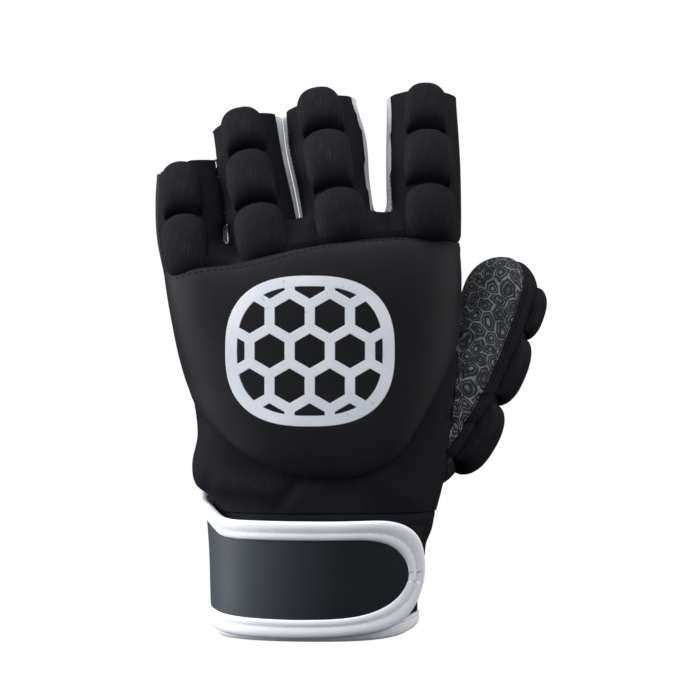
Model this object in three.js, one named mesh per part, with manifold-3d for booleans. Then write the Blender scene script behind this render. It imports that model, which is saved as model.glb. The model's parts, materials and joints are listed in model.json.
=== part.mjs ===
// A padded half-finger field hockey glove for the left hand, in the shape it has on a hand.
// Millimetres, +Z up. The back of the hand faces -Y, the palm +Y and the thumb side is +X.
// The origin is the middle of the wrist opening. The glove is a sewn shell of cloth panels,
// open at the wrist and at four finger ends, with foam pads on it and a strap round the wrist.
import * as THREE from "three";
import { mergeVertices } from "three/addons/utils/BufferGeometryUtils.js";
import Module from "manifold-3d";

const wasm = await Module();
wasm.setup();

// Driving sizes of the cloth and of the seams between the pieces
const WALL = 2.2;
const SEAM_GAP = 0.3;
const PAST = 3;
const CUFF_TOP = 46;
const HEM_WIDTH = 6.4;
const HEM_PROUD = 1.2;

// Facets round and along the outer and the inner face of the cloth, and on the pads
const BODY_SIDES = { outer: 22, inner: 14 };
const DIGIT_SIDES = { outer: 14, inner: 10 };
const DIGIT_STEPS = { outer: 5, inner: 4 };
const PAD_STEPS = { round: 6, along: 4 };
const BACK_PAD_STEPS = { round: 8, along: 5 };
const FASTENER_STEPS = { round: 8, along: 1 };
const STRAP_STEPS = 26;
const STRAP_ROWS = [-1, 0, 0.65, 1];

const rad = THREE.MathUtils.degToRad;

// The hand's cross sections from the wrist opening up to the webs between the fingers.
// follow is the share of the web line's drop that a section takes, and lift is how far a
// section rises when the whole form is grown by one millimetre.
const BODY_SECTIONS = [
  { z: 0, left: -34.6, right: 36.2, back: -20.0, palm: 19.0, follow: 0, lift: 0 },
  { z: 30, left: -35.0, right: 40.2, back: -20.6, palm: 19.8, follow: 0, lift: 0 },
  { z: 46, left: -36.6, right: 44.4, back: -21.0, palm: 20.2, follow: 0, lift: 0 },
  { z: 51, left: -38.6, right: 45.8, back: -21.0, palm: 20.6, follow: 0, lift: 0 },
  { z: 55, left: -44.0, right: 46.8, back: -20.8, palm: 20.8, follow: 0, lift: 0 },
  { z: 63, left: -45.6, right: 48.4, back: -20.2, palm: 20.8, follow: 0, lift: 0 },
  { z: 74, left: -43.6, right: 49.6, back: -19.6, palm: 20.2, follow: 0, lift: 0 },
  { z: 90, left: -45.6, right: 50.8, back: -19.0, palm: 19.0, follow: 0.1, lift: 0 },
  { z: 105, left: -49.3, right: 51.8, back: -18.4, palm: 17.6, follow: 0.3, lift: 0 },
  { z: 120, left: -51.9, right: 52.4, back: -17.6, palm: 15.6, follow: 0.6, lift: 0 },
  { z: 134, left: -54.0, right: 52.8, back: -16.4, palm: 13.4, follow: 0.9, lift: 0 },
  { z: 145, left: -55.5, right: 52.4, back: -14.4, palm: 11.6, follow: 1, lift: 0.3 },
  { z: 152, left: -55.0, right: 51.6, back: -10.8, palm: 9.6, follow: 1, lift: 0.8 },
  { z: 155.5, left: -52.0, right: 48.0, back: -6.0, palm: 6.0, follow: 1, lift: 1 },
];
const BODY_SQUARENESS = 2.35;

// How far the lower edge of the cuff rises towards the thumb's side
const WRIST_LINE = [
  { x: -44, rise: 0.6 },
  { x: -20, rise: 0 },
  { x: 16, rise: 0 },
  { x: 30, rise: 1.3 },
  { x: 38, rise: 4.2 },
  { x: 46, rise: 5 },
];

// How far the webs between the fingers lie below the highest one
const WEB_LINE = [
  { x: -60, drop: -8 },
  { x: -45, drop: -9 },
  { x: -32, drop: -13.5 },
  { x: -16, drop: -5.5 },
  { x: -1, drop: 0 },
  { x: 25, drop: 0.8 },
  { x: 56, drop: -5 },
];

// Each digit starts inside the palm at x, y, z. splay turns it towards the thumb side and
// curl towards the palm, from its root to its end, and roll turns its back towards +X. tilt
// is how far the cut across its open end lies further up on the thumb's side.
const DIGITS = {
  little: {
    x: -42.6, y: 0.0, z: 108, splay: [-6, -5], curl: [2, 31],
    roll: 0, length: 65.5, tilt: 2.5, dome: 0,
  },
  ring: {
    x: -13.4, y: -2.4, z: 116, splay: [-10, -11.4], curl: [4, 34],
    roll: 0, length: 77, tilt: 1.2, dome: 0,
  },
  middle: {
    x: 13.4, y: -3.4, z: 118, splay: [-7, -10], curl: [3, 33],
    roll: 0, length: 81, tilt: 1, dome: 0,
  },
  index: {
    x: 39.9, y: -2.4, z: 118, splay: [0.3, -0.7], curl: [3, 31],
    roll: 0, length: 83, tilt: 0, dome: 0,
  },
  thumb: {
    x: 23.5, y: 2.0, z: 50, splay: [44, 14], curl: [10, 16],
    roll: 90, length: 106, tilt: 0, dome: 16,
  },
};

// Half width and half depth of each digit's cloth along it
const DIGIT_SIZES = {
  little: [
    { share: 0, width: 7.0, depth: 8.0 },
    { share: 0.2, width: 9.5, depth: 11.0 },
    { share: 0.4, width: 11.1, depth: 11.2 },
    { share: 0.62, width: 12.7, depth: 11.0 },
    { share: 0.85, width: 12.4, depth: 10.7 },
    { share: 1, width: 11.5, depth: 10.4 },
  ],
  ring: [
    { share: 0, width: 9.0, depth: 9.0 },
    { share: 0.2, width: 12.6, depth: 11.6 },
    { share: 0.6, width: 12.5, depth: 11.6 },
    { share: 1, width: 12.6, depth: 11.2 },
  ],
  middle: [
    { share: 0, width: 9.0, depth: 9.0 },
    { share: 0.2, width: 12.5, depth: 11.8 },
    { share: 0.6, width: 13.2, depth: 11.8 },
    { share: 0.82, width: 14.6, depth: 11.7 },
    { share: 1, width: 13.4, depth: 11.4 },
  ],
  index: [
    { share: 0, width: 9.0, depth: 9.0 },
    { share: 0.2, width: 12.8, depth: 10.9 },
    { share: 0.6, width: 13.9, depth: 11.7 },
    { share: 1, width: 13.2, depth: 11.2 },
  ],
  thumb: [
    { share: 0, width: 9.5, depth: 9.5 },
    { share: 0.2, width: 14.6, depth: 15.0 },
    { share: 0.45, width: 15.4, depth: 15.2 },
    { share: 0.7, width: 14.4, depth: 14.4 },
    { share: 1, width: 13.8, depth: 14.2 },
  ],
};
const DIGIT_SQUARENESS = 2.2;
// The cut across a finger runs level over its back, and lies further up on its sides
const CUT_RISE = 3.2;
const CUT_SLOPE = 6;
const CUT_LEVEL_TO = 0.7;
const DOME_END = 0.05;
const THUMB_BACK_FROM = 0.25;
const THUMB_BACK_HALF_ANGLE = 60;
const THUMB_WEDGE_REACH = 23;
const THUMB_WEDGE_END = 1.1;

// The web of cloth between two fingers: a strip on the side of each of them, from a share
// of their length upwards, with its half height and its shift towards the back of the hand
const GUSSET_STEPS = [0, 0.25, 0.5, 0.75, 1, 1.2];
const GUSSETS = [
  { name: "gusset_little_ring", from: "little", to: "ring", root: 0.34, half: 3.2, toBack: -2.4 },
  { name: "gusset_ring_middle", from: "ring", to: "middle", root: 0.4, half: 4.0, toBack: -1.6 },
  { name: "gusset_middle_index", from: "middle", to: "index", root: 0.4, half: 5.1, toBack: -0.1 },
];

// Foam pads, from the end of each digit down: where along the middle of the digit's back they
// begin and end, as shares of its length, and their half angle and turn round the back. Their
// upper and lower edges fall away from the middle to the sides by archTop and archBottom, and
// round is the share of the half width by which the upper end narrows.
const PAD_RIM = 0.8;
const PAD_ROOT = 2;
const PAD_SQUARENESS = 3;
const PADS = {
  little: [
    { from: 0.985, to: 0.685, half: 31, turn: -8, height: 6, archTop: 0, archBottom: 1.8, round: 0.75 },
    { from: 0.67, to: 0.32, half: 35, turn: -7, height: 6, archTop: 2.4, archBottom: -1, round: 0 },
  ],
  ring: [
    { from: 1.024, to: 0.805, half: 32, turn: -2, height: 6, archTop: 0, archBottom: 2.4, round: 0.8 },
    { from: 0.79, to: 0.534, half: 36, turn: -4, height: 6, archTop: 2.6, archBottom: 2, round: 0 },
    { from: 0.518, to: 0.245, half: 38.5, turn: -3, height: 6, archTop: 2.4, archBottom: -1.5, round: 0 },
  ],
  middle: [
    { from: 1.037, to: 0.827, half: 30, turn: -3, height: 6, archTop: 0, archBottom: 2.4, round: 0.8 },
    { from: 0.812, to: 0.549, half: 32, turn: -3, height: 6, archTop: 2.6, archBottom: 2, round: 0 },
    { from: 0.533, to: 0.285, half: 37, turn: 2, height: 6, archTop: 2.4, archBottom: -1, round: 0 },
  ],
  index: [
    { from: 1.017, to: 0.8, half: 29.5, turn: 4.5, height: 6, archTop: 0, archBottom: 2.2, round: 0.8 },
    { from: 0.785, to: 0.552, half: 33, turn: 6, height: 6, archTop: 2.6, archBottom: 1.8, round: 0 },
    { from: 0.537, to: 0.295, half: 35, turn: 8, height: 6, archTop: 2.4, archBottom: -1, round: 0 },
  ],
  thumb: [
    { from: 0.92, to: 0.75, half: 36, turn: 0, height: 4, archTop: 0, archBottom: 0.8, round: 0.4 },
    { from: 0.735, to: 0.508, half: 40, turn: 0, height: 5.2, archTop: 0.8, archBottom: 0.8, round: 0 },
    { from: 0.493, to: 0.24, half: 44, turn: 0, height: 7, archTop: 0.8, archBottom: -1, round: 0 },
  ],
};

// The foam pad on the back of the hand, from its lowest point up to the knuckle seam.
// left and right are its edges as shares of the hand's half width.
const BACK_PAD_HEIGHT = 4.2;
const BACK_PAD_ROWS = [
  { rise: 0, left: -0.1, right: 0.22 },
  { rise: 0.03, left: -0.29, right: 0.42 },
  { rise: 0.09, left: -0.52, right: 0.59 },
  { rise: 0.19, left: -0.76, right: 0.7 },
  { rise: 0.32, left: -0.94, right: 0.82 },
  { rise: 0.45, left: -0.995, right: 0.92 },
  { rise: 0.58, left: -0.998, right: 0.985 },
  { rise: 0.78, left: -0.998, right: 0.995 },
  { rise: 1, left: -0.998, right: 0.995 },
];
const BACK_PAD_LOWEST = 59;
const BACK_PAD_BELOW_SEAM = 1;
const KNUCKLE_SEAM = [
  { x: -56, z: 130.6 },
  { x: -43, z: 134.3 },
  { x: -24, z: 136.7 },
  { x: -1, z: 142.6 },
  { x: 17, z: 145.2 },
  { x: 34, z: 146.2 },
  { x: 52, z: 144.4 },
];

// The wrist strap runs from its round end on the back of the wrist, over the little finger's
// side and round the palm side, to the seam where it is sewn on. Angles are round the wrist
// from +X towards +Y, and top and bottom are its edges. The round end closes as a curve,
// and its end moves by STRAP_INSET_ANGLE for each millimetre that the outline is inset.
const STRAP_END_ANGLE = 334;
const STRAP_SEWN_ANGLE = 40;
const STRAP_END_ROUND = 45;
const STRAP_END_LIFT = { from: 292, height: 6 };
const STRAP_INNER = 2.0;
const STRAP_THICK = 2.0;
const STRAP_BINDING = 6.8;
const BINDING_PROUD = 0.5;
const STRAP_INSET_ANGLE = 2.5;
const STRAP_CURVE = { bend: 2.4, close: 0.55, least: 0.12 };
const STRAP_EDGES = [
  { angle: 334, top: 42, bottom: 4 },
  { angle: 300, top: 43.6, bottom: 3.2 },
  { angle: 270, top: 43.4, bottom: 1.5 },
  { angle: 238, top: 43.6, bottom: 1.8 },
  { angle: 226, top: 43.6, bottom: 2.3 },
  { angle: 216, top: 44.6, bottom: 2.8 },
  { angle: 206, top: 48.2, bottom: 3.4 },
  { angle: 196, top: 50.4, bottom: 4 },
  { angle: 168, top: 52, bottom: 5 },
  { angle: 145, top: 55, bottom: 5 },
  { angle: 75, top: 48, bottom: 5 },
  { angle: 40, top: 45, bottom: 5 },
];
const FASTENER = { from: 205, to: 330, bottom: 9, top: 41, thick: 0.7 };

const MATERIALS = {
  neoprene: { color: 0x17181b, roughness: 0.85, metalness: 0 },
  foamCover: { color: 0x1b1c20, roughness: 0.8, metalness: 0 },
  gripCloth: { color: 0x2a2d2f, roughness: 0.75, metalness: 0 },
  whiteStretch: { color: 0xd6d8dc, roughness: 0.8, metalness: 0 },
  whiteTape: { color: 0xe4e5ec, roughness: 0.7, metalness: 0 },
  strapRubber: { color: 0x33373c, roughness: 0.5, metalness: 0 },
  fastenerLoop: { color: 0x131315, roughness: 0.95, metalness: 0 },
};

// A smooth curve through a table's rows, read at any place between them
function valueAt(rows, by, key, at) {
  const last = rows.length - 1;
  const forward = rows[last][by] > rows[0][by] ? 1 : -1;
  let i = 0;
  while (i < last - 1 && (at - rows[i + 1][by]) * forward > 0) i++;
  const slope = (a, b) => (rows[b][key] - rows[a][key]) / (rows[b][by] - rows[a][by]);
  const step = rows[i + 1][by] - rows[i][by];
  const share = THREE.MathUtils.clamp((at - rows[i][by]) / step, 0, 1);
  const s0 = slope(Math.max(i - 1, 0), i + 1) * step;
  const s1 = slope(i, Math.min(i + 2, last)) * step;
  const [p0, p1] = [rows[i][key], rows[i + 1][key]];
  const [t, t2, t3] = [share, share ** 2, share ** 3];
  return (
    p0 * (2 * t3 - 3 * t2 + 1) + s0 * (t3 - 2 * t2 + t) +
    p1 * (3 * t2 - 2 * t3) + s1 * (t3 - t2)
  );
}

// A point of a rounded oval of half sizes 1, at an angle in radians
function ovalPoint(angle, squareness) {
  const bend = (v) => Math.sign(v) * Math.abs(v) ** (2 / squareness);
  return [bend(Math.cos(angle)), bend(Math.sin(angle))];
}

// A point of the hand's surface, grown outwards by a distance
function bodyPoint(z, angle, grow) {
  const section = {};
  for (const key of ["left", "right", "back", "palm", "follow", "lift"])
    section[key] = valueAt(BODY_SECTIONS, "z", key, z);
  const [c, s] = ovalPoint(angle, BODY_SQUARENESS);
  const halfWidth = (section.right - section.left) / 2 + grow;
  const middle = (section.palm + section.back) / 2;
  const halfDepth = (section.palm - section.back) / 2 + grow;
  const x = (section.right + section.left) / 2 + c * halfWidth;
  const drop = valueAt(WEB_LINE, "x", "drop", x);
  const bareX = x - c * grow;
  const rise = valueAt(WRIST_LINE, "x", "rise", bareX) * Math.max(1 - z / CUFF_TOP, 0) ** 2;
  return new THREE.Vector3(
    x,
    middle + s * halfDepth,
    z + rise + section.follow * drop + section.lift * grow,
  );
}

// The same, at a true height above the wrist opening, found by halving
const HALVINGS = 24;
function bodyPointAtHeight(height, angle, grow) {
  let low = 0;
  let high = BODY_SECTIONS.at(-1).z;
  for (let i = 0; i < HALVINGS; i++) {
    const z = (low + high) / 2;
    if (bodyPoint(z, angle, grow).z < height) low = z;
    else high = z;
  }
  const point = bodyPoint((low + high) / 2, angle, grow);
  point.z = height;
  return point;
}

// Middle line and directions of a digit at steps of its length
const AXIS_STEPS = 96;
function axisOf(digit) {
  const at = new THREE.Vector3(digit.x, digit.y, digit.z);
  const frames = [];
  for (let i = 0; i <= AXIS_STEPS; i++) {
    const share = i / AXIS_STEPS;
    const splay = rad(THREE.MathUtils.lerp(...digit.splay, share));
    const curl = rad(THREE.MathUtils.lerp(...digit.curl, share));
    const along = new THREE.Vector3(
      Math.sin(splay) * Math.cos(curl),
      Math.sin(curl),
      Math.cos(splay) * Math.cos(curl),
    );
    const side = new THREE.Vector3(Math.cos(splay), 0, -Math.sin(splay));
    const back = side.clone().cross(along);
    side.applyAxisAngle(along, rad(digit.roll));
    back.applyAxisAngle(along, rad(digit.roll));
    frames.push({ at: at.clone(), along, side, back });
    at.addScaledVector(along, digit.length / AXIS_STEPS);
  }
  return frames;
}
for (const [name, digit] of Object.entries(DIGITS)) {
  digit.axis = axisOf(digit);
  digit.sizes = DIGIT_SIZES[name];
}

function frameAt(digit, share) {
  const place = THREE.MathUtils.clamp(share, 0, 1) * AXIS_STEPS;
  const i = Math.min(Math.floor(place), AXIS_STEPS - 1);
  const [a, b] = [digit.axis[i], digit.axis[i + 1]];
  const mixed = {};
  for (const key of ["at", "along", "side", "back"])
    mixed[key] = a[key].clone().lerp(b[key], place - i);
  mixed.at.addScaledVector(mixed.along, (share - THREE.MathUtils.clamp(share, 0, 1)) * digit.length);
  return mixed;
}

// Half width or half depth of a digit, closing over its dome
function halfSize(digit, key, share, grow) {
  const even = valueAt(digit.sizes, "share", key, share);
  const closing = digit.length + grow - share * digit.length;
  if (!digit.dome || closing >= digit.dome + grow) return even + grow;
  const part = 1 - Math.max(closing, 0) / (digit.dome + grow);
  return Math.max((even + grow) * Math.sqrt(1 - part ** DIGIT_SQUARENESS), DOME_END);
}

// A point of a digit's surface. Angle 0 is the middle of its back, and it turns to +X.
function digitPoint(digit, share, angle, grow) {
  const frame = frameAt(digit, share);
  const [c, s] = ovalPoint(angle, DIGIT_SQUARENESS);
  return frame.at
    .addScaledVector(frame.back, c * halfSize(digit, "depth", share, grow))
    .addScaledVector(frame.side, s * halfSize(digit, "width", share, grow));
}

// The faces between neighbouring rings of points, each with the same number of them
function sideFaces(rings) {
  const count = rings[0].length;
  const faces = [];
  for (let r = 0; r + 1 < rings.length; r++)
    for (let i = 0; i < count; i++) {
      const [a, b] = [r * count + i, r * count + ((i + 1) % count)];
      faces.push(a, b, b + count, a, b + count, a + count);
    }
  return faces;
}

// Closed geometry from rings of points, whose end faces are fans
function loft(rings) {
  const count = rings[0].length;
  const points = rings.flat();
  const faces = sideFaces(rings);
  for (const [ring, flip] of [[0, true], [rings.length - 1, false]]) {
    const centre = rings[ring]
      .reduce((sum, p) => sum.add(p), new THREE.Vector3())
      .divideScalar(count);
    points.push(centre);
    for (let i = 0; i < count; i++) {
      const [a, b] = [ring * count + i, ring * count + ((i + 1) % count)];
      faces.push(...(flip ? [b, a] : [a, b]), points.length - 1);
    }
  }
  return new THREE.BufferGeometry().setFromPoints(points).setIndex(faces);
}

// A manifold solid from closed geometry, turned so that its faces point out
const SAME_POINT = 1e-4;
function solid(geometry) {
  const bare = geometry.clone();
  bare.deleteAttribute("normal");
  bare.deleteAttribute("uv");
  const merged = mergeVertices(bare, SAME_POINT);
  const vertProperties = merged.attributes.position.array;
  const build = (triVerts) =>
    new wasm.Manifold(new wasm.Mesh({ numProp: 3, vertProperties, triVerts }));
  const made = build(new Uint32Array(merged.index.array));
  return made.volume() > 0 ? made : build(new Uint32Array(merged.index.array).reverse());
}

// The largest body of a solid, without the crumbs that a cut can leave
function largest(made) {
  const bodies = made.decompose();
  return bodies.reduce((a, b) => (b.volume() > a.volume() ? b : a));
}

// A closed slab over a patch of surface. pointAt(u, v, grow) is the surface and
// outer(u, v) how far the slab's outer face lies above it; u and v run from -1 to 1.
function slab(pointAt, steps, inner, outer, spread = (w) => w) {
  const across = Array.from({ length: steps.round + 1 }, (_, i) => spread((2 * i) / steps.round - 1));
  const up = Array.from({ length: steps.along + 1 }, (_, i) => spread((2 * i) / steps.along - 1));
  const top = up.map((v) => across.map((u) => pointAt(u, v, outer(u, v))));
  const under = up.map((v) => across.map((u) => pointAt(u, v, inner)));
  const rings = up.map((_, j) => [...top[j], ...under[j].slice().reverse()]);
  return solid(ladder(rings));
}

// Like loft, but its end faces are ladders between the two halves of the end rings
function ladder(rings) {
  const count = rings[0].length;
  const faces = sideFaces(rings);
  for (const [ring, flip] of [[0, true], [rings.length - 1, false]]) {
    const first = ring * count;
    for (let i = 0; i < count / 2 - 1; i++) {
      const [a, b] = [first + i, first + i + 1];
      const [c, d] = [first + count - 2 - i, first + count - 1 - i];
      faces.push(...(flip ? [b, a, d, b, d, c] : [a, b, d, b, c, d]));
    }
  }
  return new THREE.BufferGeometry().setFromPoints(rings.flat()).setIndex(faces);
}

// Rounded spacing and height of a foam pad
const towardsEdges = (w) => Math.sin((w * Math.PI) / 2);
const crown = (w) => Math.sqrt(Math.max(1 - Math.abs(w) ** PAD_SQUARENESS, 0));
const padHeight = (height) => (u, v) =>
  SEAM_GAP + PAD_RIM + (height - PAD_RIM) * crown(u) * crown(v);

// The hand without its digits, between two heights
function bodySolid(grow, bottom, top, face = "outer") {
  const sides = BODY_SIDES[face];
  const heights = BODY_SECTIONS.map((s) => s.z).filter((z) => z > bottom + 1 && z < top - 1);
  const rings = [bottom, ...heights, top].map((z) =>
    Array.from({ length: sides }, (_, i) => bodyPoint(z, (2 * Math.PI * i) / sides, grow)));
  return solid(loft(rings));
}

// How far up the cut across an open end lies at an angle round the finger
function cutRise(digit, angle) {
  const towardsBack = THREE.MathUtils.clamp(Math.cos(angle), 0, CUT_LEVEL_TO);
  return digit.tilt * Math.sin(angle) + CUT_RISE - CUT_SLOPE * towardsBack;
}

// One digit, closed at both ends. past lengthens it beyond an open end.
const DOME_STATIONS = [0.4, 0.8, 1];
function digitSolid(digit, grow, past, face = "outer") {
  const [sides, steps] = [DIGIT_SIDES[face], DIGIT_STEPS[face]];
  const shares = Array.from({ length: steps + 1 }, (_, i) => i / steps);
  const domeShares = DOME_STATIONS.map(
    (part) => 1 + (grow - (1 - part) * (digit.dome + grow)) / digit.length);
  const stations = digit.dome > 0
    ? [...shares.filter((s) => s < 1 - digit.dome / digit.length), ...domeShares]
    : [...shares.slice(0, -1), 1 + past / digit.length];
  const rings = stations.map((share, n) =>
    Array.from({ length: sides }, (_, i) => {
      const angle = (2 * Math.PI * i) / sides;
      const rise = n === stations.length - 1 && digit.dome === 0 ? cutRise(digit, angle) : 0;
      return digitPoint(digit, share + rise / digit.length, angle, grow);
    }));
  return solid(loft(rings));
}

// An upright plate of the given outline in X and Z, through the whole depth of the glove
const DEPTH_REACH = 90;
const FAR = { left: -90, right: 110, top: 240 };
function plate(outline) {
  const shape = new THREE.Shape(outline.map(([x, z]) => new THREE.Vector2(x, z)));
  const geometry = new THREE.ExtrudeGeometry(shape, { depth: 2 * DEPTH_REACH, bevelEnabled: false });
  return solid(geometry.rotateX(Math.PI / 2).translate(0, DEPTH_REACH, 0));
}

// The surface halfway between back and palm, as y at a height: level at the hand, then
// along the middle line of the fingers
const MIDDLE_START = DIGITS.middle.z;
const MIDDLE_HEIGHTS = [-PAST, MIDDLE_START, 140, 155, 170, 185, 215];
function middleY(height) {
  if (height <= MIDDLE_START) return 0;
  const axis = DIGITS.middle.axis;
  const over = height - MIDDLE_START;
  const i = axis.findIndex((f) => f.at.z - MIDDLE_START >= over);
  const frame = i < 0 ? axis.at(-1) : axis[i];
  const beyond = i < 0 ? over - (frame.at.z - MIDDLE_START) : 0;
  return frame.at.y - DIGITS.middle.y + beyond * (frame.along.y / frame.along.z);
}

// Everything on the back's side of that surface, or on the palm's side of it
function sideOfMiddle(sign, shift) {
  const line = MIDDLE_HEIGHTS.map((z) => [middleY(z) + shift, z]);
  const shape = new THREE.Shape([
    ...line, [sign * DEPTH_REACH, MIDDLE_HEIGHTS.at(-1)], [sign * DEPTH_REACH, -PAST],
  ].map(([y, z]) => new THREE.Vector2(y, z)));
  const geometry = new THREE.ExtrudeGeometry(shape, { depth: 2 * DEPTH_REACH, bevelEnabled: false });
  const toRow = new THREE.Matrix4().makeBasis(
    new THREE.Vector3(0, 1, 0), new THREE.Vector3(0, 0, 1), new THREE.Vector3(1, 0, 0));
  return solid(geometry.applyMatrix4(toRow).translate(-DEPTH_REACH, 0, 0));
}

// The space between the middle lines of two neighbouring fingers, at their half depth
function gussetSpace(gusset, grow) {
  const [a, b] = [DIGITS[gusset.from], DIGITS[gusset.to]];
  const corner = (frame, back, side) => frame.at.clone()
    .addScaledVector(frame.back, gusset.toBack + back * (gusset.half + grow))
    .addScaledVector(frame.side, side * grow);
  const rings = GUSSET_STEPS.map((step) => {
    const share = gusset.root + (1 - gusset.root) * step - (step ? 0 : grow / a.length);
    const [p, q] = [frameAt(a, share), frameAt(b, share)];
    return [corner(p, 1, -1), corner(q, 1, 1), corner(q, -1, 1), corner(p, -1, -1)];
  });
  return solid(loft(rings));
}

// The wedge that holds the back of the thumb's wall
function thumbWedge(grow) {
  const thumb = DIGITS.thumb;
  const half = rad(THUMB_BACK_HALF_ANGLE);
  const from = THUMB_BACK_FROM - grow / thumb.length;
  const rings = [];
  for (let i = 0; i <= DIGIT_STEPS.inner; i++) {
    const share = from + (THUMB_WEDGE_END - from) * (i / DIGIT_STEPS.inner);
    const frame = frameAt(thumb, share);
    const tip = frame.at.clone().addScaledVector(frame.back, -grow / Math.sin(half));
    const corner = (angle) => tip.clone()
      .addScaledVector(frame.back, Math.cos(angle) * (THUMB_WEDGE_REACH + 2 * grow))
      .addScaledVector(frame.side, Math.sin(angle) * (THUMB_WEDGE_REACH + 2 * grow));
    rings.push([tip, corner(-half), corner(-half / 2), corner(0), corner(half / 2), corner(half)]);
  }
  return solid(loft(rings));
}

const glove = new THREE.Group();
function addPiece(name, made, material) {
  const mesh = largest(made).getMesh();
  const geometry = new THREE.BufferGeometry()
    .setAttribute("position", new THREE.BufferAttribute(mesh.vertProperties, 3))
    .setIndex(new THREE.BufferAttribute(mesh.triVerts, 1));
  geometry.computeVertexNormals();
  const piece = new THREE.Mesh(geometry, new THREE.MeshStandardMaterial(MATERIALS[material]));
  piece.name = name;
  glove.add(piece);
}

// The sewn shell: hand and digits as one hollow form, open at the wrist and finger ends
const fingers = ["little", "ring", "middle", "index"].map((name) => DIGITS[name]);
const bodyTop = BODY_SECTIONS.at(-1).z;
const joined = (digits, grow, bottom, past, face) => digits.reduce(
  (form, digit) => form.add(digitSolid(digit, grow, past, face)),
  bodySolid(grow, bottom, bodyTop, face));
const allDigits = [...fingers, DIGITS.thumb];
const shellBottom = CUFF_TOP + SEAM_GAP / 2;
const aboveLine = (line) => plate([...line, [FAR.right, FAR.top], [FAR.left, FAR.top]]);
const aboveCuff = aboveLine([[FAR.left, shellBottom], [FAR.right, shellBottom]]);
const shell = joined(allDigits, 0, shellBottom, 0, "outer")
  .subtract(joined(allDigits, -WALL, CUFF_TOP - PAST, PAST, "inner"))
  .intersect(aboveCuff);

const gussetSpaces = GUSSETS.map((gusset) => gussetSpace(gusset, SEAM_GAP));
const withoutGussets = gussetSpaces.reduce((left, space) => left.subtract(space), shell);
const withoutThumbBack = withoutGussets.subtract(thumbWedge(SEAM_GAP));
const handSpace = joined(fingers, SEAM_GAP, CUFF_TOP, PAST, "outer");
const beyondHand = joined(fingers, 2 * SEAM_GAP, CUFF_TOP, PAST, "outer");
const backHalf = withoutThumbBack.intersect(sideOfMiddle(-1, -SEAM_GAP / 2)).intersect(handSpace);
const palmHalf = withoutThumbBack.intersect(sideOfMiddle(1, SEAM_GAP / 2)).intersect(handSpace);

const seamLine = (shift) => [
  [FAR.left, KNUCKLE_SEAM[0].z + shift],
  ...KNUCKLE_SEAM.map(({ x, z }) => [x, z + shift]),
  [FAR.right, KNUCKLE_SEAM.at(-1).z + shift],
];
const aboveSeam = aboveLine(seamLine(SEAM_GAP / 2));
const belowSeam = plate([...seamLine(-SEAM_GAP / 2), [FAR.right, 0], [FAR.left, 0]]);

addPiece("finger_back_panel", backHalf.intersect(aboveSeam), "neoprene");
addPiece("hand_back_panel", backHalf.intersect(belowSeam), "neoprene");
addPiece("finger_front_panel", palmHalf.intersect(aboveSeam), "gripCloth");
addPiece("palm_panel", palmHalf.intersect(belowSeam), "gripCloth");
addPiece("thumb_panel", withoutThumbBack.subtract(beyondHand), "gripCloth");
addPiece("thumb_back_panel", shell.intersect(thumbWedge(0)), "neoprene");
for (const gusset of GUSSETS)
  addPiece(gusset.name, shell.intersect(gussetSpace(gusset, 0)), "whiteStretch");

// Foam pads on the backs of the digits, cut to sit just clear of the cloth
const seat = joined(allDigits, SEAM_GAP, CUFF_TOP, PAST, "outer");
for (const [name, pads] of Object.entries(PADS))
  pads.forEach((pad, n) => {
    const digit = DIGITS[name];
    const pointAt = (u, v, grow) => {
      const arch = THREE.MathUtils.lerp(pad.archBottom, pad.archTop, (v + 1) / 2) * u * u;
      const share = THREE.MathUtils.lerp(pad.to, pad.from, (v + 1) / 2) - arch / digit.length;
      const narrow = 1 - pad.round * (1 - Math.sqrt(1 - Math.max(v, 0) ** 2));
      return digitPoint(digit, share, rad(pad.turn + u * pad.half * narrow), grow);
    };
    const made = slab(pointAt, PAD_STEPS, -PAD_ROOT, padHeight(pad.height), towardsEdges);
    const clear = name === "thumb" ? made : made.intersect(aboveSeam);
    addPiece(`${name}_pad_${n + 1}`, clear.subtract(seat), "foamCover");
  });

// Foam pad on the back of the hand, under the knuckle seam
function backPadPoint(u, v, grow) {
  const rise = (v + 1) / 2;
  const left = valueAt(BACK_PAD_ROWS, "rise", "left", rise);
  const right = valueAt(BACK_PAD_ROWS, "rise", "right", rise);
  const share = THREE.MathUtils.clamp(THREE.MathUtils.lerp(left, right, (u + 1) / 2), -1, 1);
  const angle = -Math.acos(Math.sign(share) * Math.abs(share) ** (BODY_SQUARENESS / 2));
  const x = bodyPoint(BACK_PAD_LOWEST, angle, 0).x;
  const highest = valueAt(KNUCKLE_SEAM, "x", "z", x) - BACK_PAD_BELOW_SEAM;
  return bodyPointAtHeight(THREE.MathUtils.lerp(BACK_PAD_LOWEST, highest, rise), angle, grow);
}
const backPad = slab(backPadPoint, BACK_PAD_STEPS, -PAD_ROOT, padHeight(BACK_PAD_HEIGHT), towardsEdges);
addPiece("back_pad", backPad.intersect(belowSeam).subtract(seat), "foamCover");

// Cuff with the white tape round its lower edge
const tube = (outer, inner, bottom, top) =>
  bodySolid(outer, bottom, top).subtract(bodySolid(inner, bottom - PAST, top + PAST, "inner"));
const wristTop = CUFF_TOP - SEAM_GAP / 2;
addPiece("cuff", tube(0, -WALL, HEM_WIDTH + SEAM_GAP, wristTop), "neoprene");
addPiece("cuff_hem_tape", tube(HEM_PROUD, -WALL - HEM_PROUD, 0, HEM_WIDTH), "whiteTape");

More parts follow.
